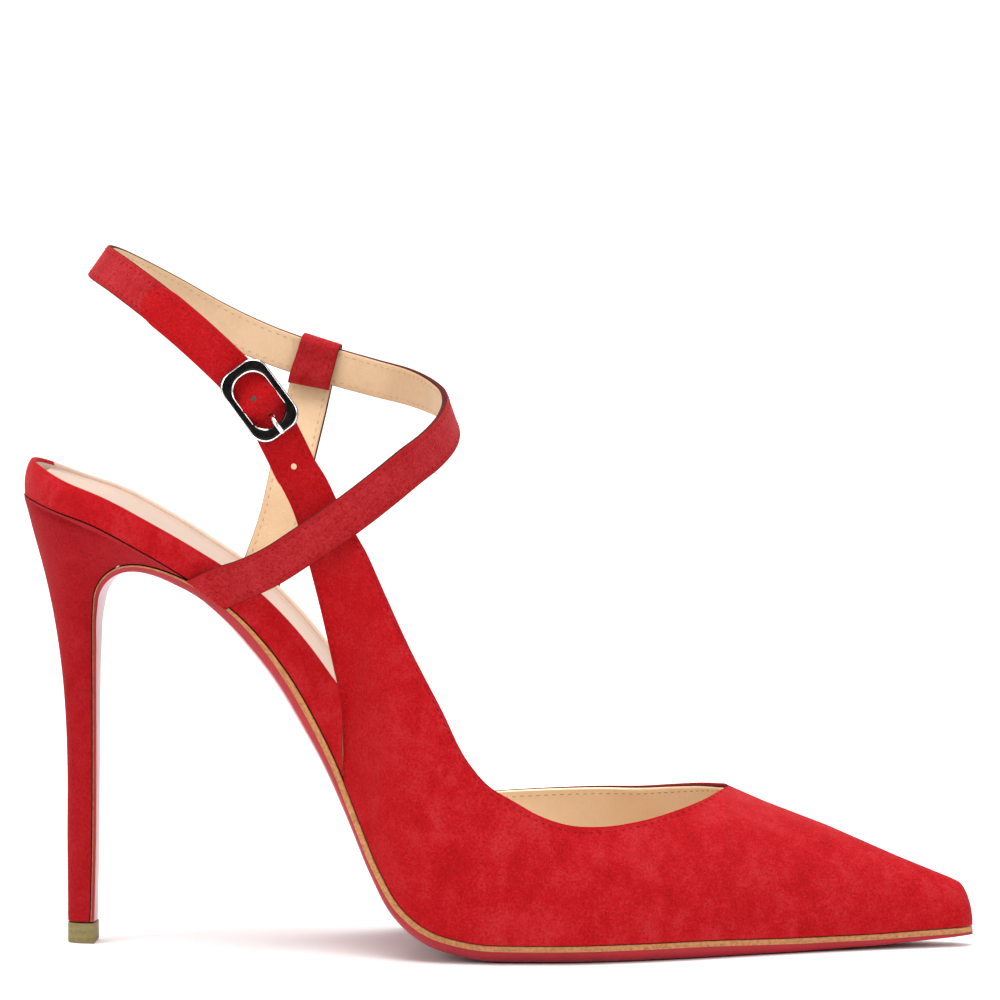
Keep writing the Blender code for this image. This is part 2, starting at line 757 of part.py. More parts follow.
def make_ankle_strap():
    """From its turn round the buckle's bar all the way to the outer waist."""
    place, tangent, normal, width = buckle_frame_axes()
    inner_half = BUCKLE_WIDTH / 2 - SIDE_RAIL - GAP
    wrap_half = inner_half - 0.7 * GAP
    rings = []
    tail = place + tangent * WRAP_TAIL + normal * (BAR_UP - BAR_RISE)
    rings.append(ribbon_ring(tail, -normal, width, wrap_half, WRAP_THICKNESS))
    for turn in even(-math.pi / 2, -3 * math.pi / 2, 7):
        outward = tangent * math.cos(turn) + normal * math.sin(turn)
        centre = place + normal * BAR_UP + outward * BAR_RISE
        rings.append(ribbon_ring(centre, outward, width, wrap_half, WRAP_THICKNESS))
    settle = BILLET_SINK * BUCKLE_LENGTH / 2
    end = strap_line.length - BUCKLE_MARK
    marks = even(BAR_DIAMETER, settle, 5) + even(settle, WIDEN_START + WIDEN_SPAN, 6)[1:]
    marks += even(WIDEN_START + WIDEN_SPAN, end, 44)[1:]
    for mark in marks:
        place, tangent, normal, width = ribbon_frame(strap_line, BUCKLE_MARK + mark)
        down = 1 - ease(mark / settle)
        share = strap_line.at(BUCKLE_MARK + mark)[0][4]
        half = share * STRAP_WIDTH / 2
        half += (inner_half - half) * (1 - ease((mark - WIDEN_START) / WIDEN_SPAN))
        thickness = STRAP_THICKNESS + (WRAP_THICKNESS - STRAP_THICKNESS) * down
        rise = (BAR_UP + BAR_RISE) * down
        slanted = width + tangent * END_SLANT * ease(1 - (end - mark) / SLANT_SPAN)
        rings.append(ribbon_ring(place + normal * rise, normal, slanted, half, thickness))
    return add_object("ankle_strap", loft(rings), RED_SUEDE, 0.9)


def keeper_spots(half_strap):
    """The flat fold over the ankle strap: across and up from its line, way out, and thickness."""
    rise = GAP + KEEPER_THICKNESS / 2
    reach = STRAP_THICKNESS / 2 + rise + KEEPER_SLACK
    low = half_strap + GAP
    thin = KEEPER_THICKNESS
    spots = [
        (reach + GAP, -1.25 * half_strap, 0, STRAP_THICKNESS),
        (reach, -0.45 * half_strap, 0, thin),
        (reach, 0.5 * half_strap, 0, thin),
    ]
    for turn in even(0, math.pi, 9):
        out = math.atan2(math.sin(turn) * reach, math.cos(turn) * rise)
        spots.append((reach * math.cos(turn), half_strap + rise * math.sin(turn), out, thin))
    spots += [(-reach, 0.3 * half_strap, math.pi, thin), (-reach, -low, math.pi, thin)]
    spots.append((-0.5 * reach, -low - KEEPER_DROP, math.pi, thin))
    return spots


def make_medial_strap():
    """Up from the inner waist, over the ankle strap and a little way down its inner face."""
    curve = strap_curve(MEDIAL_LINE)
    half = MEDIAL_WIDTH / 2
    rings = []
    for distance in even(0, curve.length, 12):
        place, tangent, out, _ = ribbon_frame(curve, distance)
        forward = unit(np.cross(tangent, out))
        forward = forward if forward[0] > 0 else -forward
        rings.append(ribbon_ring(place, out, forward, half, STRAP_THICKNESS))
    mark = inner_mark(KEEPER_ALONG * LENGTH)
    centre, tangent, normal, width = ribbon_frame(strap_line, mark)
    side = tangent if tangent[0] > 0 else -tangent
    half_strap = strap_line.at(mark)[0][4] * STRAP_WIDTH / 2
    for across, height, turn, thickness in keeper_spots(half_strap):
        settled = ease(1 - (height + 2 * half_strap) / (3 * half_strap))
        narrow = KEEPER_NARROW + (1 - KEEPER_NARROW) * settled
        out = normal * math.cos(turn) + width * math.sin(turn)
        place = centre + normal * (across - KEEPER_SLACK) + width * height
        level = KEEPER_LEVEL if across < 0 and height < 0 else 1
        forward = unit(side * np.array([1, 1, level]))
        rings.append(ribbon_ring(place, out, forward, half * narrow, thickness))
    return add_object("medial_strap", loft(rings), RED_SUEDE, 0.9)


def inner_mark(along):
    """Where the strap's line passes a place on the inner side of the ankle."""
    for mark in even(BUCKLE_MARK, strap_line.length, 400):
        values = strap_line.at(mark)[0]
        if values[1] > 0.5 * ANKLE_WIDTH / 2 and values[0] >= along:
            return mark
    return strap_line.length / 2


# Upper
def billet_rise(distance):
    """Height of the billet over the strap's line, by distance past the buckle's bar."""
    over_strap = STRAP_THICKNESS / 2 + GAP + UPPER_WALL / 2
    over_bar = BAR_UP + BAR_RISE + WRAP_THICKNESS / 2 + GAP + UPPER_WALL / 2
    half = BUCKLE_LENGTH / 2
    if distance > 0:
        return over_strap + (over_bar - over_strap) * (1 - ease(distance / (BILLET_SINK * half)))
    before_bar = 0.8 * over_strap
    if distance > -half:
        return before_bar + (over_bar - before_bar) * (1 - ease(-distance / (BILLET_SINK * half)))
    return before_bar * (1 - ease((-distance - half) / (0.9 * half)))


def billet_half(distance):
    """Half width: narrow between the side rails, and wider as soon as it has sunk below them."""
    inside = BUCKLE_WIDTH / 2 - SIDE_RAIL - GAP
    full = (BILLET_WIDTH if distance < 0 else STRAP_WIDTH) / 2
    sunk = 0.42 * BUCKLE_LENGTH / 2
    half = inside + (full - inside) * ease((abs(distance) - sunk) / (0.25 * BUCKLE_LENGTH / 2))
    left = BILLET_LENGTH - distance
    return half * (BILLET_TIP + (1 - BILLET_TIP) * cap(max(left, 0), 0.65 * BILLET_WIDTH))


def side_row(top, base, top_normal, base_normal):
    return np.concatenate([top, base, unit(top_normal), unit(base_normal)])


def foot_point(distance, side, inset):
    """Where the wall of the upper stands on the sole."""
    wide = half_width(distance) + UPPER_PROUD * cap(foot.length - distance, TOE_ROUND) - inset
    return on_foot(distance, side * wide, GAP)


def edge_rows(table, side):
    """Rows along the throat's edge, close enough together for their bases to follow the sole."""
    curve = Curve(
        [
            (along * LENGTH, out * BALL_WIDTH / 2, height * THROAT_HEIGHT, lean, foot_distance(base))
            for along, out, height, lean, base in table
        ],
        3,
    )
    rows = []
    for distance in even(0, curve.length, 4 * len(table)):
        x, out, height, lean, mark = curve.at(distance)[0]
        lean = math.radians(lean)
        top_normal = np.array([0, side * math.cos(lean), math.sin(lean)])
        top = np.array([x, side * out, height])
        rows.append(side_row(top, foot_point(mark, side, 0), top_normal, np.array([0, side, -0.12])))
    if side > 0:
        seam = foot_distance(INNER_SEAM)
        rim = foot.at(seam)[0][4]
        top = on_foot(plumb(seam, rim, 1), half_width(seam) + UPPER_PROUD, rim)
        rows.append(side_row(top, foot_point(seam, side, 0), np.array([0, 1.0, 0.02]), np.array([0, 1.0, -0.12])))
    return rows


def wing_rows():
    rows = []
    for along, out, height, rear_along, rear_out, rear_height in WING:
        top = np.array([along * LENGTH, -out * ANKLE_WIDTH / 2, height * STRAP_HEIGHT])
        base = np.array([rear_along * LENGTH, -rear_out * ANKLE_WIDTH / 2, rear_height * STRAP_HEIGHT])
        rows.append(side_row(top, base, np.array([0, -1, 0.06]), np.array([-0.04, -1, 0.02])))
    return rows


def billet_row(distance):
    place, _, normal, width = ribbon_frame(strap_line, BUCKLE_MARK + distance)
    centre = place + normal * (billet_rise(distance) + UPPER_WALL / 2)
    half = billet_half(distance)
    return side_row(centre + width * half, centre - width * half, normal, normal)


def ridge_curve():
    rows = []
    for along, height in RIDGE:
        rows.append((foot_distance(along), height * THROAT_HEIGHT))
    return np.array(rows)


ridge = ridge_curve()
THROAT_MARK = ridge[0][0]


def arch_row(distance, side):
    """A closed section of the vamp, ahead of the throat."""
    point = foot_at(distance)[0]
    height = np.interp(distance, ridge[:, 0], ridge[:, 1]) - point[2]
    height = point[2] + height * cap(foot.length - distance, TOE_RISE)
    top = np.array([point[0], RIDGE_SWING * BALL_WIDTH / 2, height])
    base_normal = np.array([0, side, -0.12])
    return side_row(top, foot_point(distance, side, 0), np.array([0, 0, 1.0]), base_normal)


def wall_section(row, inset, count=WALL_STEPS):
    """Points from the top edge down to the base, on a smooth curve square to both normals."""
    top, base = row[0:3], row[3:6]
    top_normal, base_normal = unit(row[6:9]), unit(row[9:12])
    top = top - top_normal * inset
    base = base - base_normal * np.array([1, 1, 0]) * inset
    chord = base - top
    leave = chord - top_normal * (chord @ top_normal)
    arrive = -chord + base_normal * (chord @ base_normal)
    turn = max(0.01, math.acos(min(1.0, top_normal @ base_normal)))
    handle = 4 / 3 * math.tan(turn / 4) / math.sin(turn)
    return [
        bezier(top, top + leave * handle, base + arrive * handle, base, k / count)
        for k in range(count + 1)
    ]


def side_stations(rows, count):
    curve = Curve(rows, 6)
    return [curve.at(mark)[0] for mark in even(0, curve.length, count)]


def make_upper():
    """The wall of the upper: an outer and an inner skin on the same sections, joined at the edges."""
    arches = toe_spaced(THROAT_MARK, foot.length - TOE_CLOSE, 18)
    outer_rows = [arch_row(THROAT_MARK, -1)] + edge_rows(OUTER_EDGE, -1) + wing_rows()
    billet_rows = [billet_row(share * BILLET_LENGTH) for share in BILLET_ROWS]
    outer = side_stations(outer_rows + billet_rows[:1], 37)[:-1] + billet_rows
    inner = side_stations([arch_row(THROAT_MARK, 1)] + edge_rows(INNER_EDGE, 1), 26)
    body = bmesh.new()
    skins = []
    for inset in (0.0, UPPER_WALL):
        grid = {}
        last = foot.length - (TOE_WALL if inset else 0)
        for side, behind in ((-1, outer), (1, inner)):
            rows = [arch_row(min(mark, last), side) for mark in arches[::-1]] + behind[1:]
            if inset:
                span = (last - THROAT_MARK) / (foot.length - THROAT_MARK)
                for k, mark in enumerate(arches[::-1]):
                    rows[k] = arch_row(THROAT_MARK + (mark - THROAT_MARK) * span, side)
            for i, row in enumerate(rows):
                for j, point in enumerate(wall_section(row, inset)):
                    if j == 0 and side == 1 and i < len(arches):
                        grid[side, i, j] = grid[-1, i, j]
                    else:
                        grid[side, i, j] = body.verts.new(point)
        skins.append(grid)
    counts = {-1: len(arches) + len(outer) - 1, 1: len(arches) + len(inner) - 1}
    outlines = []
    for side in (-1, 1):
        for i in range(counts[side] - 1):
            for j in range(WALL_STEPS):
                outlines.append([(side, i, j), (side, i + 1, j), (side, i + 1, j + 1), (side, i, j + 1)])
    toe = [(-1, 0, j) for j in range(WALL_STEPS, -1, -1)] + [(1, 0, j) for j in range(1, WALL_STEPS + 1)]
    outlines.append(toe)
    for grid in skins:
        for keys in outlines:
            body.faces.new([grid[key] for key in keys])
    outer_skin, inner_skin = skins
    partner = {outer_skin[key]: inner_skin[key] for key in outer_skin}
    rims = [edge for edge in body.edges if edge.is_boundary and edge.verts[0] in partner]
    for edge in rims:
        a, b = edge.verts
        body.faces.new((a, b, partner[b], partner[a]))
    bmesh.ops.recalc_face_normals(body, faces=body.faces)
    return add_object("upper", body, RED_SUEDE, 0.9)


# Buckle
def make_buckle():
    place, tangent, normal, width = buckle_frame_axes()
    up = STRAP_THICKNESS / 2 + GAP + UPPER_WALL + GAP + RAIL_HEIGHT / 2
    centre = place + normal * up
    long = BUCKLE_LENGTH / 2 - END_RAIL / 2
    wide = BUCKLE_WIDTH / 2 - SIDE_RAIL / 2
    corner = 0.62 * wide
    rings = []
    for k in range(32):
        turn = 2 * math.pi * k / 32
        x = (long - corner) * math.copysign(1, math.cos(turn)) + corner * math.cos(turn)
        y = (wide - corner) * math.copysign(1, math.sin(turn)) + corner * math.sin(turn)
        if k in (8, 24):
            x = 0
        if k in (0, 16):
            y = 0
        out = unit(np.array([math.cos(turn), math.sin(turn)]))
        thick = SIDE_RAIL + (END_RAIL - SIDE_RAIL) * abs(out[0])
        ring = []
        for step in range(8):
            angle = 2 * math.pi * (step + 0.5) / 8
            a = out * thick / 2 * math.cos(angle)
            b = RAIL_HEIGHT / 2 * math.sin(angle)
            ring.append(centre + tangent * (x + a[0]) + width * (y + a[1]) + normal * b)
        rings.append(ring)
    frame = add_object("buckle_frame", loft(rings, closed=True), DARK_METAL, 0.15, 1.0)
    drop = up - BAR_UP
    spots = [
        (-wide, 0.2 * RAIL_HEIGHT), (-wide, -0.35 * drop), (-0.93 * wide, -0.8 * drop), (-0.78 * wide, -drop),
        (0.78 * wide, -drop), (0.93 * wide, -0.8 * drop), (wide, -0.35 * drop), (wide, 0.2 * RAIL_HEIGHT),
    ]
    points = [centre + width * a + normal * b for a, b in spots]
    bar = add_object("bar_rod", tube(points, BAR_DIAMETER / 2, tangent, 8), DARK_METAL, 0.15, 1.0)
    join(frame, bar, "UNION")
    return frame


def tube(points, radius, sideways, sides, taper=1.0):
    rings = []
    for k, point in enumerate(points):
        before, after = points[max(k - 1, 0)], points[min(k + 1, len(points) - 1)]
        along = unit(after - before)
        one = unit(sideways - along * (sideways @ along))
        two = np.cross(along, one)
        size = radius * (taper if k in (0, len(points) - 1) else 1)
        rings.append(
            [
                point + (one * math.cos(turn) + two * math.sin(turn)) * size
                for turn in [2 * math.pi * step / sides for step in range(sides)]
            ]
        )
    return loft(rings)


def join(target, tool, operation):
    tool.hide_render = True
    tool.display_type = "WIRE"
    modifier = target.modifiers.new(operation.lower() + "_" + tool.name, "BOOLEAN")
    modifier.operation = operation
    modifier.object = tool
    return modifier


def prong_points(count):
    place, tangent, normal, _ = buckle_frame_axes()
    half = BUCKLE_LENGTH / 2
    curve = Curve([(a * half, b * half) for a, b in PRONG], 2)
    return [
        place + tangent * spot[0] + normal * spot[1]
        for spot in [curve.at(mark)[0] for mark in even(0, curve.length, count)]
    ]


def make_prong():
    width = buckle_frame_axes()[3]
    body = tube(prong_points(26), PRONG_DIAMETER / 2, width, 8, taper=0.6)
    return add_object("buckle_prong", body, DARK_METAL, 0.15, 1.0)


def cut_prong_holes(upper, ankle_strap):
    place, tangent, normal, width = buckle_frame_axes()
    half = BUCKLE_LENGTH / 2
    hole_at = place + tangent * PRONG_HOLE * half
    low, high = hole_at - normal * 0.3 * PUNCH_REACH, hole_at + normal * PUNCH_REACH
    radius = PRONG_DIAMETER / 2 + 1.5 * GAP
    punch = add_object("punch", tube([low, high], radius, width, 12), DARK_METAL, 0.5)
    join(upper, punch, "DIFFERENCE")
    slot_half = PRONG_DIAMETER / 2 + GAP
    rings = []
    for along in (-SLOT_BACK, SLOT_FRONT):
        ring = []
        for a, b in ((-1, -PUNCH_REACH), (1, -PUNCH_REACH), (1, PUNCH_REACH), (-1, PUNCH_REACH)):
            ring.append(place + tangent * along + width * a * slot_half + normal * b)
        rings.append(ring)
    slot = add_object("slot", loft(rings), DARK_METAL, 0.5)
    join(ankle_strap, slot, "DIFFERENCE")


def centre_on_floor(pieces):
    """Parents every piece to an empty that brings the middle of the shoe over the origin."""
    bpy.context.view_layer.update()
    corners = np.array([vertex.co for piece in pieces for vertex in piece.data.vertices])
    low, high = corners.min(axis=0), corners.max(axis=0)
    shoe = bpy.data.objects.new("shoe", None)
    bpy.context.scene.collection.objects.link(shoe)
    shoe.location = (-(low[0] + high[0]) / 2, -(low[1] + high[1]) / 2, 0)
    for piece in bpy.data.objects:
        if piece != shoe:
            piece.parent = shoe


def main():
    for existing in list(bpy.data.objects):
        bpy.data.objects.remove(existing)
    upper = make_upper()
    ankle_strap = make_ankle_strap()
    pieces = [
        upper,
        ankle_strap,
        make_heel_cover(),
        make_insole(),
        make_sock(),
        make_outsole(),
        make_heel(),
        make_top_piece(),
        make_medial_strap(),
        make_buckle(),
        make_prong(),
    ]
    cut_prong_holes(upper, ankle_strap)
    centre_on_floor(pieces)


main()
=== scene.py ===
# %% [markdown]
# # An ankle strap pump, from last to stitches
#
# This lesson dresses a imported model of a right-foot pump with a pointed toe, a slim covered heel,
# straps that cross at the ankle and a small dark buckle. A shoemaker pulls every piece over a last,
# so every form here is worked out from a few sizes of that last and from short tables of sections.
# The same sections that made the plain solids are read again here, only much more often, and that
# keeps each dressed piece exactly over the solid that it stands for.

# %% Load the frame
import math

import bmesh
import bpy
import numpy as np
from mathutils import Matrix, Vector


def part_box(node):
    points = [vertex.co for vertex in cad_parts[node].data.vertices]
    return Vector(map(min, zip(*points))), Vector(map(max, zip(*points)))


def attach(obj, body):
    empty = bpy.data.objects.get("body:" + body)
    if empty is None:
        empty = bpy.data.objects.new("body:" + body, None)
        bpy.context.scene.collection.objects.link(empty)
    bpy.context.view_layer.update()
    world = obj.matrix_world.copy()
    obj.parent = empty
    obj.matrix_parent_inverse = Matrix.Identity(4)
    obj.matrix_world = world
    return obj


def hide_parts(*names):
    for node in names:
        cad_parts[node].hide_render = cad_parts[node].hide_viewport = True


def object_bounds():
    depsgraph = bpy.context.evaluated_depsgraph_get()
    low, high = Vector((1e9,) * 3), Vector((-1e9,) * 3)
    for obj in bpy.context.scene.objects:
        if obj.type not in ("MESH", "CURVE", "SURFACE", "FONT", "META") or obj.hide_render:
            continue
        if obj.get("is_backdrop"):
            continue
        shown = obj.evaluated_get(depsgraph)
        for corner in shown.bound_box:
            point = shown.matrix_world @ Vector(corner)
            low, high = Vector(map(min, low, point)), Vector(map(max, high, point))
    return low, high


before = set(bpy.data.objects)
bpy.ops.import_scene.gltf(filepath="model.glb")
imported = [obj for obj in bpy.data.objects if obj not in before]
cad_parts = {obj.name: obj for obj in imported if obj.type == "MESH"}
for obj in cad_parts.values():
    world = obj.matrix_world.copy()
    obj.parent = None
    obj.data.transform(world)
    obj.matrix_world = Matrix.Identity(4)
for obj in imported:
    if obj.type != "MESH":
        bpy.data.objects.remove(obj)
CAD_BOX = [[float(number) for number in corner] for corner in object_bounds()]
MM = 0.001
print("solids:", ", ".join(sorted(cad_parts)))

# %% [markdown]
# ## Camera and studio
#
# A product photographer puts the shoe on white paper that curves up behind it, and stands well back
# with a long lens, so that near and far edges hardly differ in size. The same is done here: a lens
# of about 200 mm, 1.3 m away, a little above the floor and a little in front of the shoe's side.
# Large soft lamps on both sides keep the suede even, and one over the top draws the light lines on the sole.
# The bright lines on the buckle are painted highlights.

# %% Camera
AIM = Vector((0.0005, 0.0007, 0.1014))
DISTANCE = 1.3
TURN, RISE = math.radians(2.8), math.radians(3.3)
VIEW_WIDTH = 0.227

back = Vector((math.sin(TURN) * math.cos(RISE), -math.cos(TURN) * math.cos(RISE), math.sin(RISE)))
camera = bpy.data.objects.new("camera", bpy.data.cameras.new("camera"))
bpy.context.scene.collection.objects.link(camera)
camera.location = AIM + back * DISTANCE
camera.rotation_euler = back.to_track_quat("Z", "Y").to_euler()
camera.data.sensor_width = 36
camera.data.lens = 36 * DISTANCE / VIEW_WIDTH
bpy.context.scene.camera = camera
bpy.context.scene.view_settings.view_transform = "Standard"
print("lens", round(camera.data.lens), "mm")


# %% Lamps
def lamp(name, place, size, watts, target=AIM):
    """A square soft lamp that looks at a place."""
    light = bpy.data.lights.new(name, "AREA")
    light.size = size
    light.energy = watts
    made = bpy.data.objects.new(name, light)
    made.location = place
    made.rotation_euler = (Vector(place) - Vector(target)).to_track_quat("Z", "Y").to_euler()
    bpy.context.scene.collection.objects.link(made)
    return made


lamp("lamp_over", (-0.15, -0.30, 1.5), 1.1, 24)
lamp("lamp_left", (-1.2, -1.0, 0.7), 0.9, 8)
lamp("lamp_right", (1.2, -1.1, 0.8), 0.9, 8)
lamp("lamp_paper", (0, 0.5, 2.3), 1.6, 34, (0, 2.0, 0.9))
sky = bpy.data.worlds.new("studio")
sky.use_nodes = True
sky.node_tree.nodes["Background"].inputs["Color"].default_value = (1, 1, 1, 1)
sky.node_tree.nodes["Background"].inputs["Strength"].default_value = 0.54
bpy.context.scene.world = sky
print("lamps: 4")

# %% [markdown]
# ## Paint as arithmetic
#
# A shader is a small sum: this much cloud, plus that much grain. Nodes make such a sum hard to read,
# so one class wraps a socket and lets Python's own signs add the Math nodes. A second class holds a
# material and adds any other node in one way. Colours never pass through a Math node, because it
# would turn them grey: they are mixed with a Mix node instead.


# %% A socket that can be added and multiplied
class Signal:
    """A value from a node, used in sums like a number."""

    def __init__(self, paint, socket):
        self.paint = paint
        self.socket = socket

    def maths(self, operation, first, second, limit=False):
        settings = {"operation": operation, "use_clamp": limit}
        return self.paint.node("ShaderNodeMath", settings, {0: first, 1: second}, 0)

    def __add__(self, other):
        return self.maths("ADD", self, other)

    def __sub__(self, other):
        return self.maths("SUBTRACT", self, other)

    def __rsub__(self, other):
        return self.maths("SUBTRACT", other, self)

    def __mul__(self, other):
        return self.maths("MULTIPLY", self, other)

    def limited(self):
        return self.maths("ADD", self, 0.0, limit=True)

    __radd__ = __add__
    __rmul__ = __mul__


print("signs that a signal takes: + - *")


# %% A material that adds its own nodes
class Paint:
    """A material with one way to add any node to it."""

    def __init__(self, name, colour, roughness, constants):
        self.material = bpy.data.materials.new(name)
        self.material.use_nodes = True
        self.material.diffuse_color = (*colour, 1)
        self.tree = self.material.node_tree
        self.shader = self.tree.nodes["Principled BSDF"]
        self.set({"Base Color": (*colour, 1), "Roughness": roughness, **constants})

    def set(self, sockets):
        """Gives the shader's sockets values or signals."""
        self.fill(self.shader, sockets)

    def fill(self, node, sockets):
        for key, value in sockets.items():
            if isinstance(value, Signal):
                self.tree.links.new(value.socket, node.inputs[key])
            else:
                node.inputs[key].default_value = value

    def node(self, kind, settings, sockets, output):
        """Adds a node: its settings first, then its sockets. Gives back one output."""
        made = self.tree.nodes.new(kind)
        for name, value in settings.items():
            if name == "stops":
                self.set_stops(made.color_ramp, value)
            else:
                setattr(made, name, value)
        self.fill(made, sockets)
        return Signal(self, made.outputs[output])

    def set_stops(self, ramp, stops):
        while len(ramp.elements) < len(stops):
            ramp.elements.new(1.0)
        for element, (place, colour) in zip(ramp.elements, stops):
            element.position = place
            element.color = (*colour, 1)

    def place(self, stretch=(1, 1, 1), start=(0, 0, 0)):
        """Coordinates of the piece itself, stretched and moved."""
        here = self.node("ShaderNodeTexCoord", {}, {}, "Object")
        for operation, amount in (("MULTIPLY", stretch), ("ADD", start)):
            here = self.node("ShaderNodeVectorMath", {"operation": operation}, {0: here, 1: amount}, 0)
        return here

    def noise(self, place, scale, detail=2.0, roughness=0.5, bend=0.0):
        sockets = {"Vector": place, "Scale": scale, "Detail": detail}
        sockets.update({"Roughness": roughness, "Distortion": bend})
        return self.node("ShaderNodeTexNoise", {}, sockets, 0)

    def cells(self, place, scale):
        return self.node("ShaderNodeTexVoronoi", {}, {"Vector": place, "Scale": scale}, "Distance")

    def ramp(self, value, stops):
        return self.node("ShaderNodeValToRGB", {"stops": stops}, {0: value}, 0)

    def mix(self, share, first, second):
        """From the first colour to the second."""
        return self.node("ShaderNodeMix", {"data_type": "RGBA"}, {0: share, 6: first, 7: second}, 2)

    def relief(self, height, depth):
        """Lets a height from 0 to 1 dent the surface by a depth in metres."""
        self.set({"Normal": self.node("ShaderNodeBump", {}, {"Distance": depth, "Height": height}, 0)})


def share_near_edge(paint):
    """1 at the cut edge of a piece, and 0 away from it: each mesh carries it."""
    return paint.node("ShaderNodeAttribute", {"attribute_name": "near_edge"}, {}, "Fac")


print("paint classes ready")

# %% [markdown]
# ## Suede
#
# Suede is the flesh side of a skin, sanded until it stands up as a short nap. Where the nap lies one
# way it looks bright, and where it was brushed the other way it looks deep, so it is cloudy over
# patches of a few millimetres, with a fine grain on top. Two noises make the clouds, one of them
# drawn out along the leg of the shoe, and a fine one makes the grain. A last one adds single dark
# and light tufts. Sheen, the light of fibres that stand up, is the same all over, so it sits on the
# shader's own socket.


# %% Suede
SUEDE_DEEP = (0.285, 0.0004, 0.0016)
SUEDE_RED = (0.370, 0.0026, 0.0060)
SUEDE_LIGHT = (0.420, 0.0230, 0.0280)
SUEDE_DULL = (0.310, 0.0110, 0.0145)
HEEL_DEEP = (0.235, 0.0006, 0.0022)
HEEL_RED = (0.300, 0.0030, 0.0065)
# Noise scales: turns to the metre
CLOUDS, STROKES, GRAIN, FIBRE, TUFTS = 105, 330, 1700, 3600, 2400
# Painted shade, a slow darkening along the shoe: axis, start and length in metres, and the colour at its far
# end
# painted shade on the upper, darker towards the wing and the billet
SHADE_TO_WING = ("X", -0.012, -0.02, (0.330, 0.0004, 0.0014))
# painted shade on the heel, darker towards its top under the seat
SHADE_TO_HEEL_TOP = ("Z", 0.082, 0.03, (0.255, 0.0080, 0.0125))


def shaded(paint, nap, shade):
    """Paints shade into the nap: it darkens slowly along an axis of the shoe."""
    axis, begin, length, far_colour = shade
    along = paint.node("ShaderNodeSeparateXYZ", {}, {0: paint.place()}, axis)
    share = ((along - begin) * (1 / length)).limited()
    return paint.mix(share * 0.6, nap, (*far_colour, 1))


def tufted(paint, nap, start, deep, light, amount):
    """Adds single tufts of nap, darker and lighter than the rest."""
    speck = paint.noise(paint.place((1, 1, 1), start), TUFTS, 1.0, 0.5)
    dark_tufts = ((0.46 - speck) * 8.0).limited() * amount
    light_tufts = ((speck - 0.56) * 8.0).limited() * amount
    nap = paint.mix(dark_tufts, nap, (deep[0] * 0.62, deep[1], deep[2], 1))
    return paint.mix(light_tufts * 0.7, nap, (*light, 1))


def suede(name, start, colours, grain_share, tufts, shade=None):
    """Red nap with its clouds somewhere else on each piece. colours: deep, middle and light."""
    deep, middle, light = colours
    constants = {"Sheen Weight": 0.10, "Sheen Roughness": 0.45, "Sheen Tint": (1, 0.30, 0.32, 1)}
    constants["Specular IOR Level"] = 0.12
    paint = Paint(name, middle, 0.92, constants)
    clouds = paint.noise(paint.place((1, 1, 1), start), CLOUDS, 5.0, 0.62, 0.5)
    strokes = paint.noise(paint.place((0.8, 1, 0.55), start), STROKES, 3.0, 0.6, 0.3)
    grain = paint.noise(paint.place(), GRAIN, 2.0, 0.65)
    fibre = paint.noise(paint.place((1, 1, 0.6)), FIBRE, 1.0, 0.5)
    tone = clouds * (0.72 - grain_share) + strokes * 0.28 + grain * grain_share
    nap = paint.ramp(tone, [(0.36, deep), (0.49, middle), (0.68, light)])
    # painted shade along an axis, for the pieces that have it
    if shade is not None:
        nap = shaded(paint, nap, shade)
    nap = tufted(paint, nap, start, deep, light, tufts)
    worn = paint.mix(share_near_edge(paint) * 0.45, nap, (*deep, 1))
    paint.set({"Base Color": worn, "Roughness": (0.84 + grain * 0.14).limited()})
    paint.relief(grain * 0.60 + fibre * 0.40, 0.00032)
    return paint.material


FRESH = (SUEDE_DEEP, SUEDE_RED, SUEDE_LIGHT)
DULL = (SUEDE_DEEP, SUEDE_DULL, SUEDE_LIGHT)
# the upper and the heel take painted shade towards the wing and towards the heel's top
upper_suede = suede("upper_suede", (0, 0, 0), FRESH, 0.30, 0.38, SHADE_TO_WING)
cover_suede = suede("cover_suede", (3, 1, 2), FRESH, 0.30, 0.26)
heel_suede = suede("heel_suede", (5, 4, 1), (HEEL_DEEP, HEEL_RED, SUEDE_DULL), 0.36, 0.45, SHADE_TO_HEEL_TOP)
strap_suede = suede("strap_suede", (7, 2, 6), DULL, 0.42, 0.55)
medial_suede = suede("medial_suede", (2, 6, 3), DULL, 0.26, 0.40)
print("suedes: 5")

# %% [markdown]
# ## Lining, sock and raw edges
#
# The inside is smooth grain leather, tan in the straps and the upper and pale beige underfoot. It
# has a soft shine, tiny pores and slow changes of tone where hands have touched it. Raw edges are
# cut through two skins and painted brown by hand, so they are darker and a little uneven.


# %% Smooth leathers
def grain_leather(name, colours, roughness, pores, start=(0, 0, 0), shine=0.35):
    """Smooth leather with pores this many to the metre. colours: light and dark."""
    light, dark = colours
    paint = Paint(name, light, roughness, {"Specular IOR Level": shine})
    tone = paint.noise(paint.place((1, 1, 1), start), 40, 3.0, 0.6, 0.5)
    speck = paint.noise(paint.place(), 900, 2.0, 0.7)
    colour = paint.ramp(tone * 0.8 + speck * 0.2, [(0.32, dark), (0.60, light)])
    colour = paint.mix(share_near_edge(paint) * 0.35, colour, (*dark, 1))
    paint.set({"Base Color": colour, "Roughness": (roughness - 0.08 + tone * 0.16).limited()})
    paint.relief(paint.cells(paint.place(), pores) * 0.7 + speck * 0.3, 0.00006)
    return paint.material


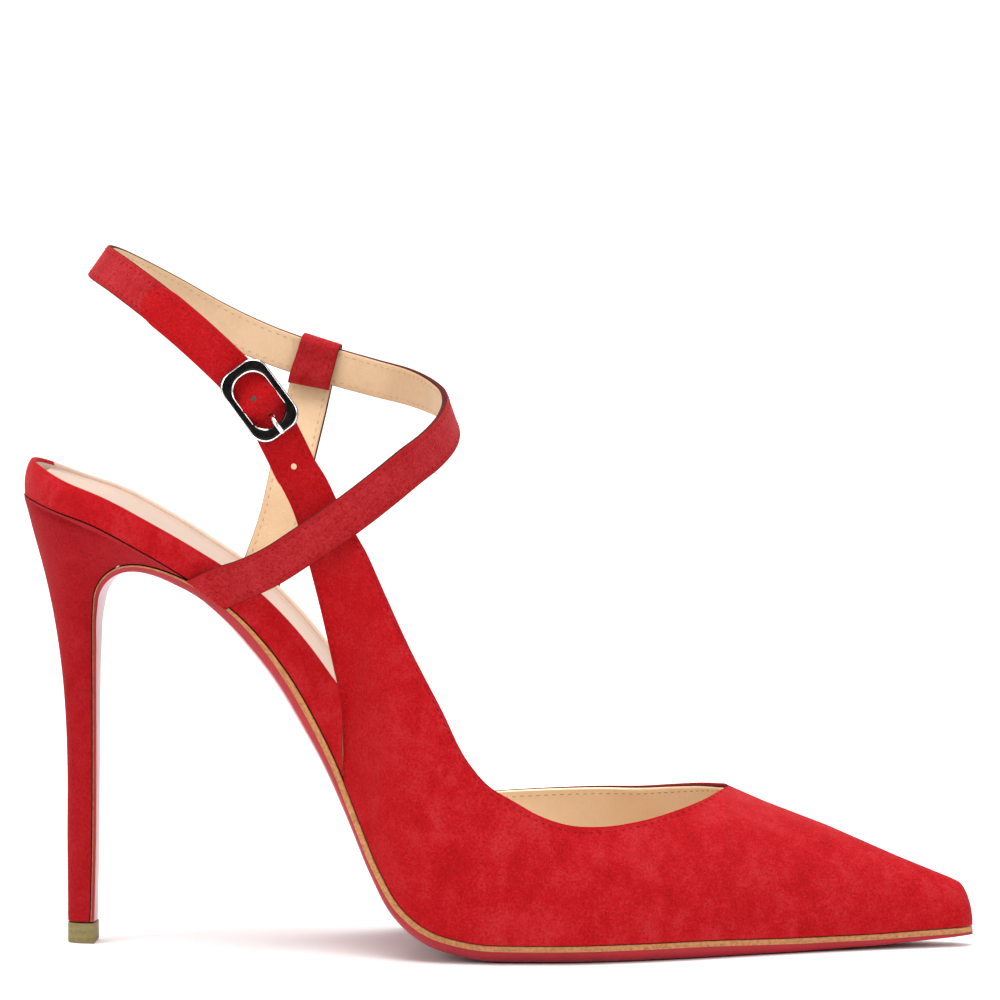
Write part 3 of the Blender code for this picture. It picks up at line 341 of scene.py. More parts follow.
LINING = ((0.65, 0.455, 0.285), (0.54, 0.35, 0.195))
# painted light: a lighter copy of the lining for the inside of the upper, which lies in shade
THROAT_PAINTED_LIGHT = ((0.96, 0.77, 0.52), (0.90, 0.67, 0.40))
SOCK = ((0.490, 0.350, 0.272), (0.450, 0.308, 0.232))
SEAT_WALL = ((0.66, 0.475, 0.375), (0.61, 0.42, 0.32))
BOARD = ((0.74, 0.50, 0.31), (0.60, 0.38, 0.22))
EDGE = ((0.120, 0.016, 0.014), (0.050, 0.008, 0.008))
# painted shade: the dark floor of the blind hole in the billet
HOLE_SHADE = ((0.25, 0.16, 0.13), (0.17, 0.10, 0.08))
lining = grain_leather("lining", LINING, 0.5, 1700)
throat_lining_painted_light = grain_leather("throat_lining_painted_light", THROAT_PAINTED_LIGHT, 0.55, 1700, (0, 5, 3))
sock_leather = grain_leather("sock_leather", SOCK, 0.5, 1500, (2, 3, 1))
cover_lining = grain_leather("cover_lining", SEAT_WALL, 0.5, 1500, (2, 3, 1))
board_tan = grain_leather("insole_board", BOARD, 0.7, 1200, (1, 1, 4))
edge_paint = grain_leather("edge_paint", EDGE, 0.9, 2600, (4, 0, 2), 0.08)
hole_shade = grain_leather("hole_shade", HOLE_SHADE, 0.8, 2600, (1, 0, 4), 0.1)
print("smooth leathers: 7")

# %% [markdown]
# ## Sole, top piece, metal and thread
#
# The sole is leather under a hard red lacquer: glossy, with faint rub marks, and a clear coat that mirrors
# the white floor. Its edge at the top is left tan, and fine lines show how the layers are stacked. The top
# piece is hard rubber, matt and speckled. The buckle is polished metal, painted nearly black as a dark
# reflection, with a little haze where fingers touch it.


# %% Lacquered sole
LACQUER_DEEP = (0.26, 0.005, 0.012)
LACQUER = (0.36, 0.009, 0.018)


def sole_gloss(name):
    constants = {"Coat Roughness": 0.08, "Specular IOR Level": 0.25}
    paint = Paint(name, (0.38, 0.012, 0.022), 0.2, constants)
    haze = paint.noise(paint.place(), 45, 4.0, 0.6, 0.8)
    rubs = paint.noise(paint.place((1, 6, 1)), 130, 3.0, 0.7)
    colour = paint.ramp(haze * 0.7 + rubs * 0.3, [(0.30, LACQUER_DEEP), (0.62, LACQUER)])
    marks = ((rubs - 0.60) * 6.0).limited()
    paint.set({"Base Color": colour, "Roughness": (0.24 + haze * 0.12 + marks * 0.22).limited()})
    paint.set({"Coat Weight": (0.16 - marks * 0.12).limited()})
    paint.relief(haze * 0.8 + rubs * 0.2, 0.00005)
    return paint.material


def layered_edge(name, light, dark):
    """Stacked leather seen on its edge, with lines along it."""
    paint = Paint(name, light, 0.45, {"Specular IOR Level": 0.4})
    across = share_near_edge(paint)
    wander = paint.noise(paint.place(), 260, 3.0, 0.6)
    speck = paint.noise(paint.place(), 1300, 2.0, 0.7)
    line = paint.node("ShaderNodeMath", {"operation": "SINE"}, {0: (across + wander * 0.2) * 9.4}, 0)
    shade = ((speck - 0.44) * 2.2 + line * 0.10 + wander * 0.30).limited()
    colour = paint.mix(shade, (*light, 1), (*dark, 1))
    paint.set({"Base Color": colour, "Roughness": (0.38 + wander * 0.2).limited()})
    paint.relief(line * 0.2 + speck * 0.6 + 0.2, 0.00008)
    return paint.material


sole_red = sole_gloss("sole_lacquer")
sole_tan = layered_edge("sole_edge", (0.50, 0.225, 0.070), (0.22, 0.070, 0.025))
print("sole paints: 2")


# %% Rubber, metal and thread
def top_rubber(name):
    paint = Paint(name, (0.21, 0.165, 0.055), 0.6, {"Specular IOR Level": 0.3})
    speck = paint.noise(paint.place(), 1100, 3.0, 0.7)
    layers = paint.noise(paint.place((0.2, 0.2, 3)), 260, 2.0, 0.5)
    stops = [(0.35, (0.15, 0.115, 0.036)), (0.62, (0.26, 0.205, 0.085))]
    colour = paint.ramp(speck * 0.4 + layers * 0.6, stops)
    paint.set({"Base Color": colour, "Roughness": (0.5 + speck * 0.25).limited()})
    paint.relief(speck, 0.00012)
    return paint.material


def dark_metal(name):
    # painted reflection: a nearly black base stands in for the dark surroundings that polished metal mirrors
    paint = Paint(name, (0.030, 0.028, 0.028), 0.1, {"Metallic": 1.0})
    haze = paint.noise(paint.place(), 500, 3.0, 0.6, 0.5)
    dark = paint.ramp(haze, [(0.35, (0.012, 0.011, 0.011)), (0.65, (0.030, 0.027, 0.026))])
    paint.set({"Base Color": dark, "Roughness": (0.04 + haze * 0.08).limited()})
    paint.relief(haze, 0.00001)
    return paint.material


def bright_metal(name):
    paint = Paint(name, (0.86, 0.84, 0.80), 0.16, {"Metallic": 1.0})
    haze = paint.noise(paint.place(), 900, 2.0, 0.6, 0.5)
    colour = paint.ramp(haze, [(0.38, (0.62, 0.59, 0.55)), (0.60, (0.93, 0.92, 0.90))])
    paint.set({"Base Color": colour, "Roughness": (0.10 + haze * 0.16).limited()})
    return paint.material


def thread(name, light, dark):
    paint = Paint(name, light, 0.8, {"Specular IOR Level": 0.15})
    twist = paint.noise(paint.place(), 2600, 1.0, 0.5)
    paint.set({"Base Color": paint.ramp(twist, [(0.40, dark), (0.60, light)])})
    paint.relief(twist, 0.00008)
    return paint.material


top_piece_rubber = top_rubber("top_piece_rubber")
# the buckle's frame and bar, painted nearly black as a dark reflection
buckle_metal = dark_metal("buckle_metal")
# bright metal: the prong's own metal, and the painted highlights on the buckle's frame
bright_metal_and_painted_highlight = bright_metal("bright_metal_and_painted_highlight")
red_thread = thread("red_thread", (0.260, 0.003, 0.008), (0.170, 0.002, 0.005))
tan_thread = thread("tan_thread", (0.54, 0.38, 0.24), (0.44, 0.29, 0.17))
print("materials:", len(bpy.data.materials))

# %% [markdown]
# ## The last in numbers
#
# A last is the solid foot shape that a shoe is built on. Lastmakers describe one by a few sizes and
# by sections at set places along it, and so do the tables here: each row holds shares of the sizes,
# and a smooth curve runs through the rows.

# %% Sizes
LENGTH = 216 * MM
BALL_WIDTH = 71 * MM
HEEL_WIDTH = 46 * MM
SEAT_HEIGHT = 102.7 * MM
THROAT_HEIGHT = 36.5 * MM
TOE_ROUND = 5 * MM
TOE_RISE = 3.5 * MM
INNER_TOE_ROUND = 2 * MM
ANKLE_WIDTH = 64 * MM
STRAP_HEIGHT = 155.7 * MM
SOLE_THICKNESS = 4.2 * MM
SOLE_BAND = 1.3 * MM
SOLE_STEP = 0.35 * MM
TOP_PIECE_HEIGHT = 4.9 * MM
COVER_HEIGHT = 8.5 * MM
COVER_WALL = 1.5 * MM
SOCK_THICKNESS = 0.9 * MM
SOCK_DEPTH = 1.3 * MM
UPPER_WALL = 1.5 * MM
UPPER_PROUD = 0.8 * MM
TOE_WALL = 4 * MM
BILLET_TIP = 0.18
STRAP_WIDTH = 8.8 * MM
STRAP_THICKNESS = 1.6 * MM
MEDIAL_WIDTH = 10 * MM
WRAP_THICKNESS = 0.8 * MM
WRAP_TAIL = 2.6 * MM
BILLET_LENGTH = 35 * MM
BILLET_WIDTH = 9.2 * MM
BILLET_SINK = 0.56
BUCKLE_LENGTH = 18 * MM
BUCKLE_WIDTH = 11.8 * MM
SIDE_RAIL = 1.6 * MM
END_RAIL = 2.2 * MM
RAIL_HEIGHT = 1.6 * MM
BAR_DIAMETER = 1.2 * MM
PRONG_DIAMETER = 1.1 * MM
GAP = 0.3 * MM
WAIST_START = 0.20
LIP_ALONG = 0.176
RIDGE_SWING = 0.085
COVER_LEAN = 26 * MM
COVER_BACK_UPRIGHT = 0.5
INNER_SEAM = 0.3560
BUCKLE_ROW = 2
WIDEN_START = 9 * MM
WIDEN_SPAN = 7 * MM
END_SLANT = 0.59
SLANT_SPAN = 15 * MM
KEEPER_ALONG = 0.2960
KEEPER_DROP = 1.3 * MM
KEEPER_NARROW = 0.93
KEEPER_SLACK = 0.25 * MM
KEEPER_THICKNESS = 0.9 * MM
KEEPER_LEVEL = 0.6
PRONG_HOLE = -0.500
SLOT_BACK = 4 * MM
SLOT_FRONT = 2.9 * MM
PUNCH_REACH = 6 * MM
print("length", LENGTH / MM, "mm, heel", SEAT_HEIGHT / MM, "mm")

# %% Sections of the foot, the heel and the front of the heel
FOOT = (
    # along, rise, swing, half, rim, sole, edge, flat
    (0.000, 1.000, 0.00, 1.000, 0.98, 0.75, 0.36, 2),
    (0.040, 0.969, 0.00, 1.000, 0.86, 0.75, 0.36, 2),
    (0.080, 0.940, 0.00, 1.000, 0.81, 0.75, 0.36, 2),
    (0.127, 0.887, -0.01, 0.989, 0.80, 0.60, 0.36, 2),
    (0.181, 0.815, -0.01, 0.903, 0.81, 0.62, 0.42, 2),
    (0.230, 0.738, -0.01, 0.520, 0.84, 1.04, 0.60, 2.5),
    (0.258, 0.675, -0.02, 0.500, 0.87, 1.12, 0.64, 3),
    (0.287, 0.592, -0.035, 0.497, 0.92, 1.12, 0.64, 3),
    (0.312, 0.500, -0.05, 0.510, 0.97, 1.08, 0.62, 3),
    (0.334, 0.407, -0.055, 0.550, 1.00, 0.98, 0.56, 3),
    (0.360, 0.276, -0.055, 0.665, 1.00, 0.80, 0.50, 3),
    (0.385, 0.156, -0.05, 0.790, 0.95, 0.74, 0.54, 3),
    (0.407, 0.080, -0.03, 0.870, 0.86, 0.81, 0.64, 4),
    (0.434, 0.034, -0.02, 0.930, 0.76, 0.93, 0.72, 6),
    (0.468, 0.010, 0.00, 0.975, 0.68, 1.00, 0.76, 9),
    (0.505, 0.001, 0.00, 1.000, 0.65, 1.00, 0.78, 12),
    (0.569, 0.000, 0.015, 0.998, 0.65, 1.00, 0.78, 12),
    (0.648, 0.000, 0.04, 0.900, 0.65, 1.00, 0.78, 12),
    (0.708, 0.000, 0.055, 0.762, 0.65, 1.00, 0.78, 12),
    (0.764, -0.003, 0.07, 0.605, 0.65, 0.93, 0.74, 10),
    (0.824, -0.006, 0.085, 0.450, 0.65, 0.82, 0.68, 8),
    (0.884, -0.006, 0.09, 0.303, 0.65, 0.72, 0.62, 6),
    (0.940, -0.002, 0.09, 0.180, 0.62, 0.62, 0.56, 5),
    (0.977, 0.001, 0.09, 0.110, 0.60, 0.52, 0.50, 4),
    (1.000, 0.003, 0.09, 0.080, 0.60, 0.46, 0.44, 4),
)
BREAST = (
    # along, height, half, sole
    (0.0700, 0.049, 0.187, 0.22),
    (0.0708, 0.100, 0.183, 0.22),
    (0.0722, 0.220, 0.180, 0.22),
    (0.0730, 0.380, 0.183, 0.22),
    (0.0735, 0.540, 0.205, 0.22),
    (0.0742, 0.655, 0.257, 0.23),
    (0.0760, 0.743, 0.357, 0.25),
    (0.0800, 0.791, 0.470, 0.32),
    (0.0900, 0.823, 0.560, 0.38),
    (0.1050, 0.844, 0.640, 0.43),
    (0.1240, 0.851, 0.715, 0.46),
    (0.1440, 0.846, 0.775, 0.50),
    (0.1680, 0.8300, 0.830, 0.58),
)
HEEL = (
    # back_along, back_height, front, half, bow
    (0.0440, 0.049, 0.000, 0.187, 0),
    (0.0440, 0.100, 0.051, 0.186, 0),
    (0.0436, 0.240, 0.193, 0.188, 0),
    (0.0440, 0.385, 0.338, 0.196, 0),
    (0.0425, 0.500, 0.453, 0.215, 0),
    (0.0385, 0.612, 0.563, 0.262, 0),
    (0.0338, 0.690, 0.635, 0.335, 0),
    (0.0285, 0.758, 0.686, 0.425, 0),
    (0.0225, 0.820, 0.727, 0.550, 0.01),
    (0.0160, 0.877, 0.765, 0.690, 0.03),
    (0.0105, 0.920, 0.810, 0.815, 0.07),
    (0.0055, 0.960, 0.880, 0.925, 0.13),
    (0.0012, 0.990, 1.000, 0.990, 0.16),
)
RIDGE = (
    # along, height
    (0.7435, 0.990),
    (0.7800, 0.897),
    (0.8460, 0.750),
    (0.9210, 0.557),
    (0.9770, 0.424),
    (1.0000, 0.360),
)
COVER_PROFILE = (
    # depth, height
    (0.10, 0.00),
    (-0.22, 0.30),
    (-0.25, 0.62),
    (0.05, 0.90),
    (0.35, 1.00),
    (0.75, 1.00),
    (1.00, 0.90),
    (1.00, 0.00),
)

# %% Edges of the throat and of the wing
OUTER_EDGE = (
    # along, out, height, lean, foot
    (0.7385, 0.040, 0.993, 80, 0.7400),
    (0.7140, 0.325, 0.940, 56, 0.7165),
    (0.6870, 0.490, 0.893, 44, 0.6900),
    (0.6490, 0.680, 0.847, 34, 0.6530),
    (0.6100, 0.800, 0.827, 27, 0.6150),
    (0.5790, 0.870, 0.844, 22, 0.5830),
    (0.5520, 0.920, 0.899, 18, 0.5530),
    (0.5220, 0.955, 1.000, 14, 0.5190),
    (0.4980, 0.975, 1.090, 12, 0.4900),
    (0.4765, 0.985, 1.240, 10, 0.4610),
    (0.4500, 0.980, 1.548, 8, 0.4280),
    (0.4155, 0.965, 1.940, 6, 0.3860),
    (0.3905, 0.950, 2.260, 5, 0.3440),
)
INNER_EDGE = (
    # along, out, height, lean, foot
    (0.7385, 0.172, 0.998, 80, 0.7400),
    (0.7120, 0.405, 0.978, 58, 0.7150),
    (0.6800, 0.585, 0.950, 45, 0.6840),
    (0.6500, 0.710, 0.926, 37, 0.6545),
    (0.6020, 0.835, 0.910, 27, 0.6060),
    (0.5500, 0.925, 0.888, 19, 0.5530),
    (0.5100, 0.960, 0.870, 14, 0.5110),
    (0.4770, 0.965, 0.856, 11, 0.4760),
    (0.4440, 0.930, 0.862, 8, 0.4410),
    (0.4210, 0.860, 0.904, 6, 0.4170),
    (0.4030, 0.775, 0.990, 5, 0.3970),
    (0.3890, 0.705, 1.095, 4, 0.3820),
    (0.3750, 0.650, 1.215, 3, 0.3680),
)
WING = (
    # front along, out, height, rear along, out, height
    (0.3815, 1.050, 0.558, 0.3450, 0.775, 0.300),
    (0.3725, 1.040, 0.585, 0.3435, 0.830, 0.365),
    (0.3630, 1.030, 0.608, 0.3345, 0.880, 0.432),
    (0.3530, 1.020, 0.632, 0.3230, 0.930, 0.508),
    (0.3415, 1.015, 0.660, 0.3090, 0.965, 0.585),
    (0.3290, 1.010, 0.695, 0.2950, 0.985, 0.650),
)

# %% Lines of the straps and of the prong
STRAP_LINE = (
    # along, out, height, lean, width
    (0.3008, -1.000, 0.700, 2, 1.00),
    (0.2840, -1.000, 0.748, 2, 1.00),
    (0.2630, -1.010, 0.804, 3, 1.00),
    (0.2390, -1.000, 0.839, 5, 1.00),
    (0.1960, -0.930, 0.894, 10, 1.00),
    (0.1540, -0.780, 0.939, 18, 0.98),
    (0.1130, -0.500, 0.976, 28, 0.97),
    (0.0830, -0.100, 0.998, 35, 0.97),
    (0.0920, 0.300, 0.991, 30, 0.97),
    (0.1170, 0.560, 0.970, 22, 0.98),
    (0.1480, 0.740, 0.944, 15, 0.99),
    (0.1880, 0.880, 0.910, 9, 1.00),
    (0.2450, 0.965, 0.872, 5, 1.00),
    (0.3010, 0.970, 0.845, 4, 1.00),
    (0.3600, 0.870, 0.823, 6, 1.00),
    (0.3995, 0.660, 0.8110, 10, 1.00),
    (0.4320, 0.350, 0.7955, 16, 1.00),
    (0.4475, 0.070, 0.7830, 18, 1.00),
    (0.4515, -0.170, 0.7680, 15, 1.02),
    (0.4470, -0.400, 0.7495, 11, 1.03),
    (0.4335, -0.600, 0.7285, 7, 1.04),
    (0.4140, -0.790, 0.7075, 4, 1.04),
    (0.3900, -0.950, 0.6800, 2, 1.03),
    (0.3510, -1.090, 0.6385, 1, 1.02),
    (0.3070, -1.060, 0.597, -2, 1.00),
    (0.2735, -0.960, 0.567, -4, 1.00),
    (0.2440, -0.845, 0.547, -4, 1.02),
    (0.2240, -0.757, 0.536, -4, 1.06),
    (0.2025, -0.716, 0.5215, -4, 1.10),
)
MEDIAL_LINE = (
    # along, out, height, lean
    (0.2270, 0.638, 0.4860, -6),
    (0.2420, 0.643, 0.5350, -6),
    (0.2600, 0.745, 0.6100, -8),
    (0.2720, 0.845, 0.6900, -8),
    (0.2830, 0.960, 0.7600, -6),
)
PRONG = (
    # along, up
    (0.070, 0.272),
    (0.165, 0.165),
    (0.125, -0.015),
    (-0.030, -0.070),
    (-0.200, -0.050),
    (-0.350, 0.005),
    (-0.450, 0.075),
    (-0.502, 0.190),
    (-0.515, 0.330),
    (-0.540, 0.480),
    (-0.660, 0.590),
    (-0.900, 0.615),
    (-1.010, 0.600),
)
print("sections:", len(FOOT), "of the foot,", len(HEEL), "of the heel,", len(STRAP_LINE), "of the strap")

# %% [markdown]
# ## Smooth curves through the rows
#
# A Hermite curve passes through every row, and its slope at a row comes from the rows on each side.
# That is what a bent wooden batten does between pins, and it keeps a line fair where a polyline
# would show its corners.


# %% Curves
def unit(vector):
    return vector / np.linalg.norm(vector)


def bezier(start, start_handle, end_handle, end, t):
    near = start * (1 - t) ** 3 + 3 * start_handle * t * (1 - t) ** 2
    return near + 3 * end_handle * t**2 * (1 - t) + end * t**3


def ease(t):
    t = min(max(t, 0.0), 1.0)
    return t * t * (3 - 2 * t)


def cap(distance, radius):
    """Share of the full width at a distance from a round end."""
    if distance >= radius:
        return 1.0
    return math.sqrt(max(0.0, 1 - (1 - distance / radius) ** 2))


def even(start, end, count):
    return [start + (end - start) * k / (count - 1) for k in range(count)]


def toe_spaced(start, end, count):
    """Distances that come closer together towards the end."""
    return [start + (end - start) * math.sin(math.pi / 2 * k / (count - 1)) for k in range(count)]


class Curve:
    """A smooth curve through rows of values, read by the distance along their first columns."""

    def __init__(self, rows, measured, level=False):
        self.rows = np.array(rows, float)
        steps = np.linalg.norm(np.diff(self.rows[:, :measured], axis=0), axis=1)
        self.marks = np.concatenate([[0], np.cumsum(steps)])
        self.length = self.marks[-1]
        rates = np.diff(self.rows, axis=0) / steps[:, None]
        before, after = steps[:-1, None], steps[1:, None]
        middle = (rates[:-1] * after + rates[1:] * before) / (before + after)
        if level:
            same = rates[:-1] * rates[1:] > 0
            limit = 3 * np.minimum(abs(rates[:-1]), abs(rates[1:]))
            middle = np.where(same, np.clip(middle, -limit, limit), 0)
        self.slopes = np.vstack([rates[:1], middle, rates[-1:]])

    def at(self, distance):
        """The values, and how fast each changes, at a distance along the curve."""
        step = int(np.clip(np.searchsorted(self.marks, distance) - 1, 0, len(self.marks) - 2))
        size = self.marks[step + 1] - self.marks[step]
        t = (distance - self.marks[step]) / size
        if t < 0 or t > 1:
            end = 0 if t < 0 else -1
            return self.rows[end] + self.slopes[end] * (distance - self.marks[end]), self.slopes[end]
        start, finish = self.rows[step], self.rows[step + 1]
        leave, arrive = self.slopes[step] * size, self.slopes[step + 1] * size
        values = (
            start * (2 * t**3 - 3 * t**2 + 1)
            + leave * (t**3 - 2 * t**2 + t)
            + finish * (3 * t**2 - 2 * t**3)
            + arrive * (t**3 - t**2)
        )
        rates = (
            (start - finish) * (6 * t**2 - 6 * t)
            + leave * (3 * t**2 - 4 * t + 1)
            + arrive * (3 * t**2 - 2 * t)
        ) / size
        return values, rates

    def reach(self, value, index=0):
        """The distance at which a rising column first reaches a value."""
        return float(np.interp(value, self.rows[:, index], self.marks))


def marks_along(points):
    """How far along a line each of its points lies."""
    return np.concatenate([[0], np.cumsum(np.linalg.norm(np.diff(points, axis=0), axis=1))])


def read_along(mark, marks, points):
    """The point of a line, or any other values that go with its points, at a distance along it."""
    return np.array([np.interp(mark, marks, points[:, n]) for n in range(3)])


def circle(count):
    """Angles round a full circle."""
    return even(0, 2 * math.pi, count + 1)[:-1]


print("a share of 0.25 eases to", ease(0.25))


# %% The bottom line of the foot
def foot_curve():
    rows = []
    for along, rise, swing, half, rim, sole, edge, flat in FOOT:
        height = SOLE_THICKNESS + rise * (SEAT_HEIGHT - SOLE_THICKNESS)
        width = half * (HEEL_WIDTH if along < WAIST_START else BALL_WIDTH) / 2
        leather = (sole * SOLE_THICKNESS, edge * SOLE_THICKNESS, flat)
        rows.append((along * LENGTH, height, swing * BALL_WIDTH / 2, width, rim * COVER_HEIGHT, *leather))
    return Curve(rows, 2, level=True)


foot = foot_curve()


def foot_at(distance):
    """Point, tangent and upward normal in the side plane, and the section's values."""
    values, rates = foot.at(distance)
    tangent = unit(np.array([rates[0], 0, rates[1]]))
    normal = np.array([-tangent[2], 0, tangent[0]])
    return np.array([values[0], 0, values[1]]), tangent, normal, values


def half_width(distance, inset=0.0):
    """Half width of the outline, rounded at the heel and the toe."""
    values = foot.at(distance)[0]
    width = values[3] - inset
    back = cap(distance - inset, HEEL_WIDTH / 2 - inset)
    front = cap(foot.length - inset - distance, max(TOE_ROUND - inset, INNER_TOE_ROUND))
    return width * back * front


def on_foot(distance, out, height):
    """A point out from the middle and up from the bottom line."""
    point, _, normal, values = foot_at(distance)
    return point + normal * height + np.array([0, values[2] + out, 0])


def foot_distance(along):
    return foot.reach(along * LENGTH)


print("bottom line", round(foot.length / MM), "mm long")

# %% [markdown]
# ## From rings to meshes
#
# Most pieces are lofts: rings of points, joined by quads. Each quad between two rings belongs to a
# strip, and a strip can have its own material, so one ring gives a strap its suede face, its painted
# edges and its lining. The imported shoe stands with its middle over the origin, and the rows count
# from the back of the heel, so every mesh is moved by the same small shift.


# %% Mesh helpers
def finish_mesh(name, body, paints, sharp=48):
    """Turns a bmesh into an object that rides with the shoe."""
    bmesh.ops.recalc_face_normals(body, faces=body.faces)
    mesh = bpy.data.meshes.new(name)
    body.to_mesh(mesh)
    body.free()
    mesh.transform(shift_matrix)
    for paint in paints:
        mesh.materials.append(paint)
    mesh.shade_smooth()
    mesh.set_sharp_from_angle(angle=math.radians(sharp))
    made = bpy.data.objects.new(name, mesh)
    bpy.context.scene.collection.objects.link(made)
    return made


def loft(rings, strips=None, edge=None, ends=0, closed=False):
    """A body through rings, with flat ends or closed to a loop.

    strips: materials, one row a ring. edge: how near each point of a ring is to a cut edge.
    """
    body = bmesh.new()
    near = body.verts.layers.float.new("near_edge")
    layers = []
    for ring in rings:
        layers.append([body.verts.new(point) for point in ring])
        for k, vert in enumerate(layers[-1]):
            vert[near] = edge[k] if edge is not None else 0.0
    count = len(layers[0])
    for i, (lower, upper) in enumerate(zip(layers, layers[1:] + layers[:1] * closed)):
        for k in range(count):
            turn = (k + 1) % count
            face = body.faces.new((lower[k], lower[turn], upper[turn], upper[k]))
            face.material_index = strips[i][k] if strips is not None else 0
    for layer in () if closed else (layers[0][::-1], layers[-1]):
        body.faces.new(layer).material_index = ends
    return body


def dress(made, node):
    """The piece moves with the shoe and stands for a solid, whose plain mesh it hides."""
    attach(made, "root")
    if node:
        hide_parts(node)
    print(made.name, len(made.data.polygons), "faces")
    return made


print("mesh helpers: finish, loft, dress")

# %% [markdown]
# ## The line of the sole
#
# The sole starts at the tip of the heel, runs up the front of the heel, turns forward under the
# waist and follows the foot to the toe. One curve carries it all the way, so that the red leather
# is one unbroken piece, as on the real shoe.


# %% The sole's line
# Points on half a section of the heel
HEEL_POINTS = 24


def sole_curve():
    rows = []
    for along, height, half, sole in BREAST:
        middle = sole * SOLE_THICKNESS
        rows.append((along * LENGTH, height * SEAT_HEIGHT, 0, half * HEEL_WIDTH / 2, middle, 0.8 * middle, 2))
    for mark in even(foot_distance(WAIST_START), foot.length, 70):
        values = foot.at(mark)[0]
        rows.append((*values[:4], *values[5:8]))
    return Curve(rows, 2)


sole_line = sole_curve()
LIP_MARK = sole_line.reach(LIP_ALONG * LENGTH)


def sole_at(distance):
    values, rates = sole_line.at(distance)
    tangent = unit(np.array([rates[0], 0, rates[1]]))
    normal = np.array([-tangent[2], 0, tangent[0]])
    return np.array([values[0], 0, values[1]]), normal, values


def sole_half(distance):
    values = sole_line.at(distance)[0]
    return values[3] * cap(sole_line.length - distance, TOE_ROUND)


def heel_ring(row, count=HEEL_POINTS):
    """One section of the heel, from the outer front corner round the back to the inner one."""
    back_along, back_height, front, half, bow = row
    front_mark = front * LIP_MARK
    point, normal, _ = sole_at(front_mark)
    front_point = point + normal * GAP
    front_half = sole_half(front_mark)
    back_point = np.array([back_along * LENGTH, 0, back_height * SEAT_HEIGHT])
    ring = []
    for turn in even(-math.pi / 2, math.pi / 2, 2 * count + 1):
        share = 1 - math.cos(turn) if abs(turn) < math.pi / 2 else 1.0
        share = share**1.15
        width = half * HEEL_WIDTH / 2 * abs(math.sin(turn)) ** 0.9
        width += (front_half - half * HEEL_WIDTH / 2) * share**3
        place = back_point + (front_point - back_point) * share
        place = place + np.array([0, math.copysign(width, turn), 0])
        place[2] += bow * COVER_HEIGHT * 4 * share * (1 - share)
        ring.append(place)
    return ring


def seat_ring(count=HEEL_POINTS):
    """The top of the heel: the seat outline just under the cover."""
    lip = foot_distance(LIP_ALONG)
    ring = []
    for turn in even(-math.pi / 2, math.pi / 2, 2 * count + 1):
        share = 1 - math.cos(turn) if abs(turn) < math.pi / 2 else 1.0
        mark = lip * share**1.15
        width = half_width(max(mark, 0))
        ring.append(on_foot(mark, math.copysign(width, turn) if turn else 0, 0))
    return ring


print("line of the sole", round(sole_line.length / MM), "mm long")


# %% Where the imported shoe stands
TOP_PROFILE = (
    # height from the floor, size as a share of the tip's own outline
    (0.00 * MM, 0.90),
    (0.06 * MM, 0.95),
    (0.20 * MM, 0.985),
    (0.45 * MM, 1.00),
    (1.60 * MM, 1.00),
    (1.75 * MM, 0.992),
    (1.90 * MM, 1.00),
    (4.30 * MM, 1.00),
    (TOP_PIECE_HEIGHT - GAP, 0.985),
)


def top_piece_rings():
    """The rubber under the heel: the heel's own tip, with room for the end of the sole."""
    tip = heel_ring(HEEL[0])
    flap = BREAST[0][3] * SOLE_THICKNESS + GAP
    middle = np.mean(tip, axis=0)
    back_x = tip[len(tip) // 2][0]
    depth = tip[0][0] - back_x
    rings = []
    for height, grow in TOP_PROFILE:
        ring = []
        for point in tip:
            place = middle + (point - middle) * grow
            share = (point[0] - back_x) / depth
            ring.append((place[0] + flap * share, place[1], height))
        rings.append(ring)
    return rings


rubber_points = np.array([point for ring in top_piece_rings() for point in ring])
packed_low, packed_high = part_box("top_piece")
made_low, made_high = rubber_points.min(axis=0), rubber_points.max(axis=0)
shift = (np.array(packed_low) + packed_high - made_low - made_high) / 2
shift[2] = 0
shift_matrix = Matrix.Translation([float(number) for number in shift])
print("shift in mm", np.round(shift / MM, 2))

# %% [markdown]
# ## The floor
#
# The white paper lies flat under the shoe and then curves up behind it, so no line shows where the
# floor ends. It is one strip of mesh, marked as stage because it isn't part of the shoe.

# %% Paper sweep
SWEEP_FRONT, SWEEP_TURN, SWEEP_RADIUS, SWEEP_TOP, SWEEP_HALF = -3.0, 1.1, 0.9, 3.2, 3.0


def sweep_profile():
    spots = [(SWEEP_FRONT, 0.0), (-0.3, 0.0), (0.3, 0.0)]
    for turn in even(0, math.pi / 2, 17):
        spots.append((SWEEP_TURN + SWEEP_RADIUS * math.sin(turn), SWEEP_RADIUS * (1 - math.cos(turn))))
    return spots + [(SWEEP_TURN + SWEEP_RADIUS, SWEEP_TOP)]


def make_sweep():
    body = bmesh.new()
    left, right = [
        [body.verts.new((side * SWEEP_HALF, y, z)) for y, z in sweep_profile()] for side in (-1, 1)
    ]
    for k in range(len(left) - 1):
        body.faces.new((left[k], right[k], right[k + 1], left[k + 1]))
    mesh = bpy.data.meshes.new("paper_sweep")
    body.to_mesh(mesh)
    body.free()
    mesh.shade_smooth()
    paper = Paint("paper", (0.88, 0.88, 0.88), 0.85, {"Specular IOR Level": 0.2})
    tone = paper.noise(paper.place(), 3, 2.0)
    stops = [(0.3, (0.875, 0.875, 0.875)), (0.7, (0.885, 0.885, 0.885))]
    paper.set({"Base Color": paper.ramp(tone, stops)})
    mesh.materials.append(paper.material)
    made = bpy.data.objects.new("paper_sweep", mesh)
    bpy.context.scene.collection.objects.link(made)
    return made


make_sweep()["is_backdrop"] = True
print("floor at 0, sweep starts", SWEEP_TURN, "m behind")

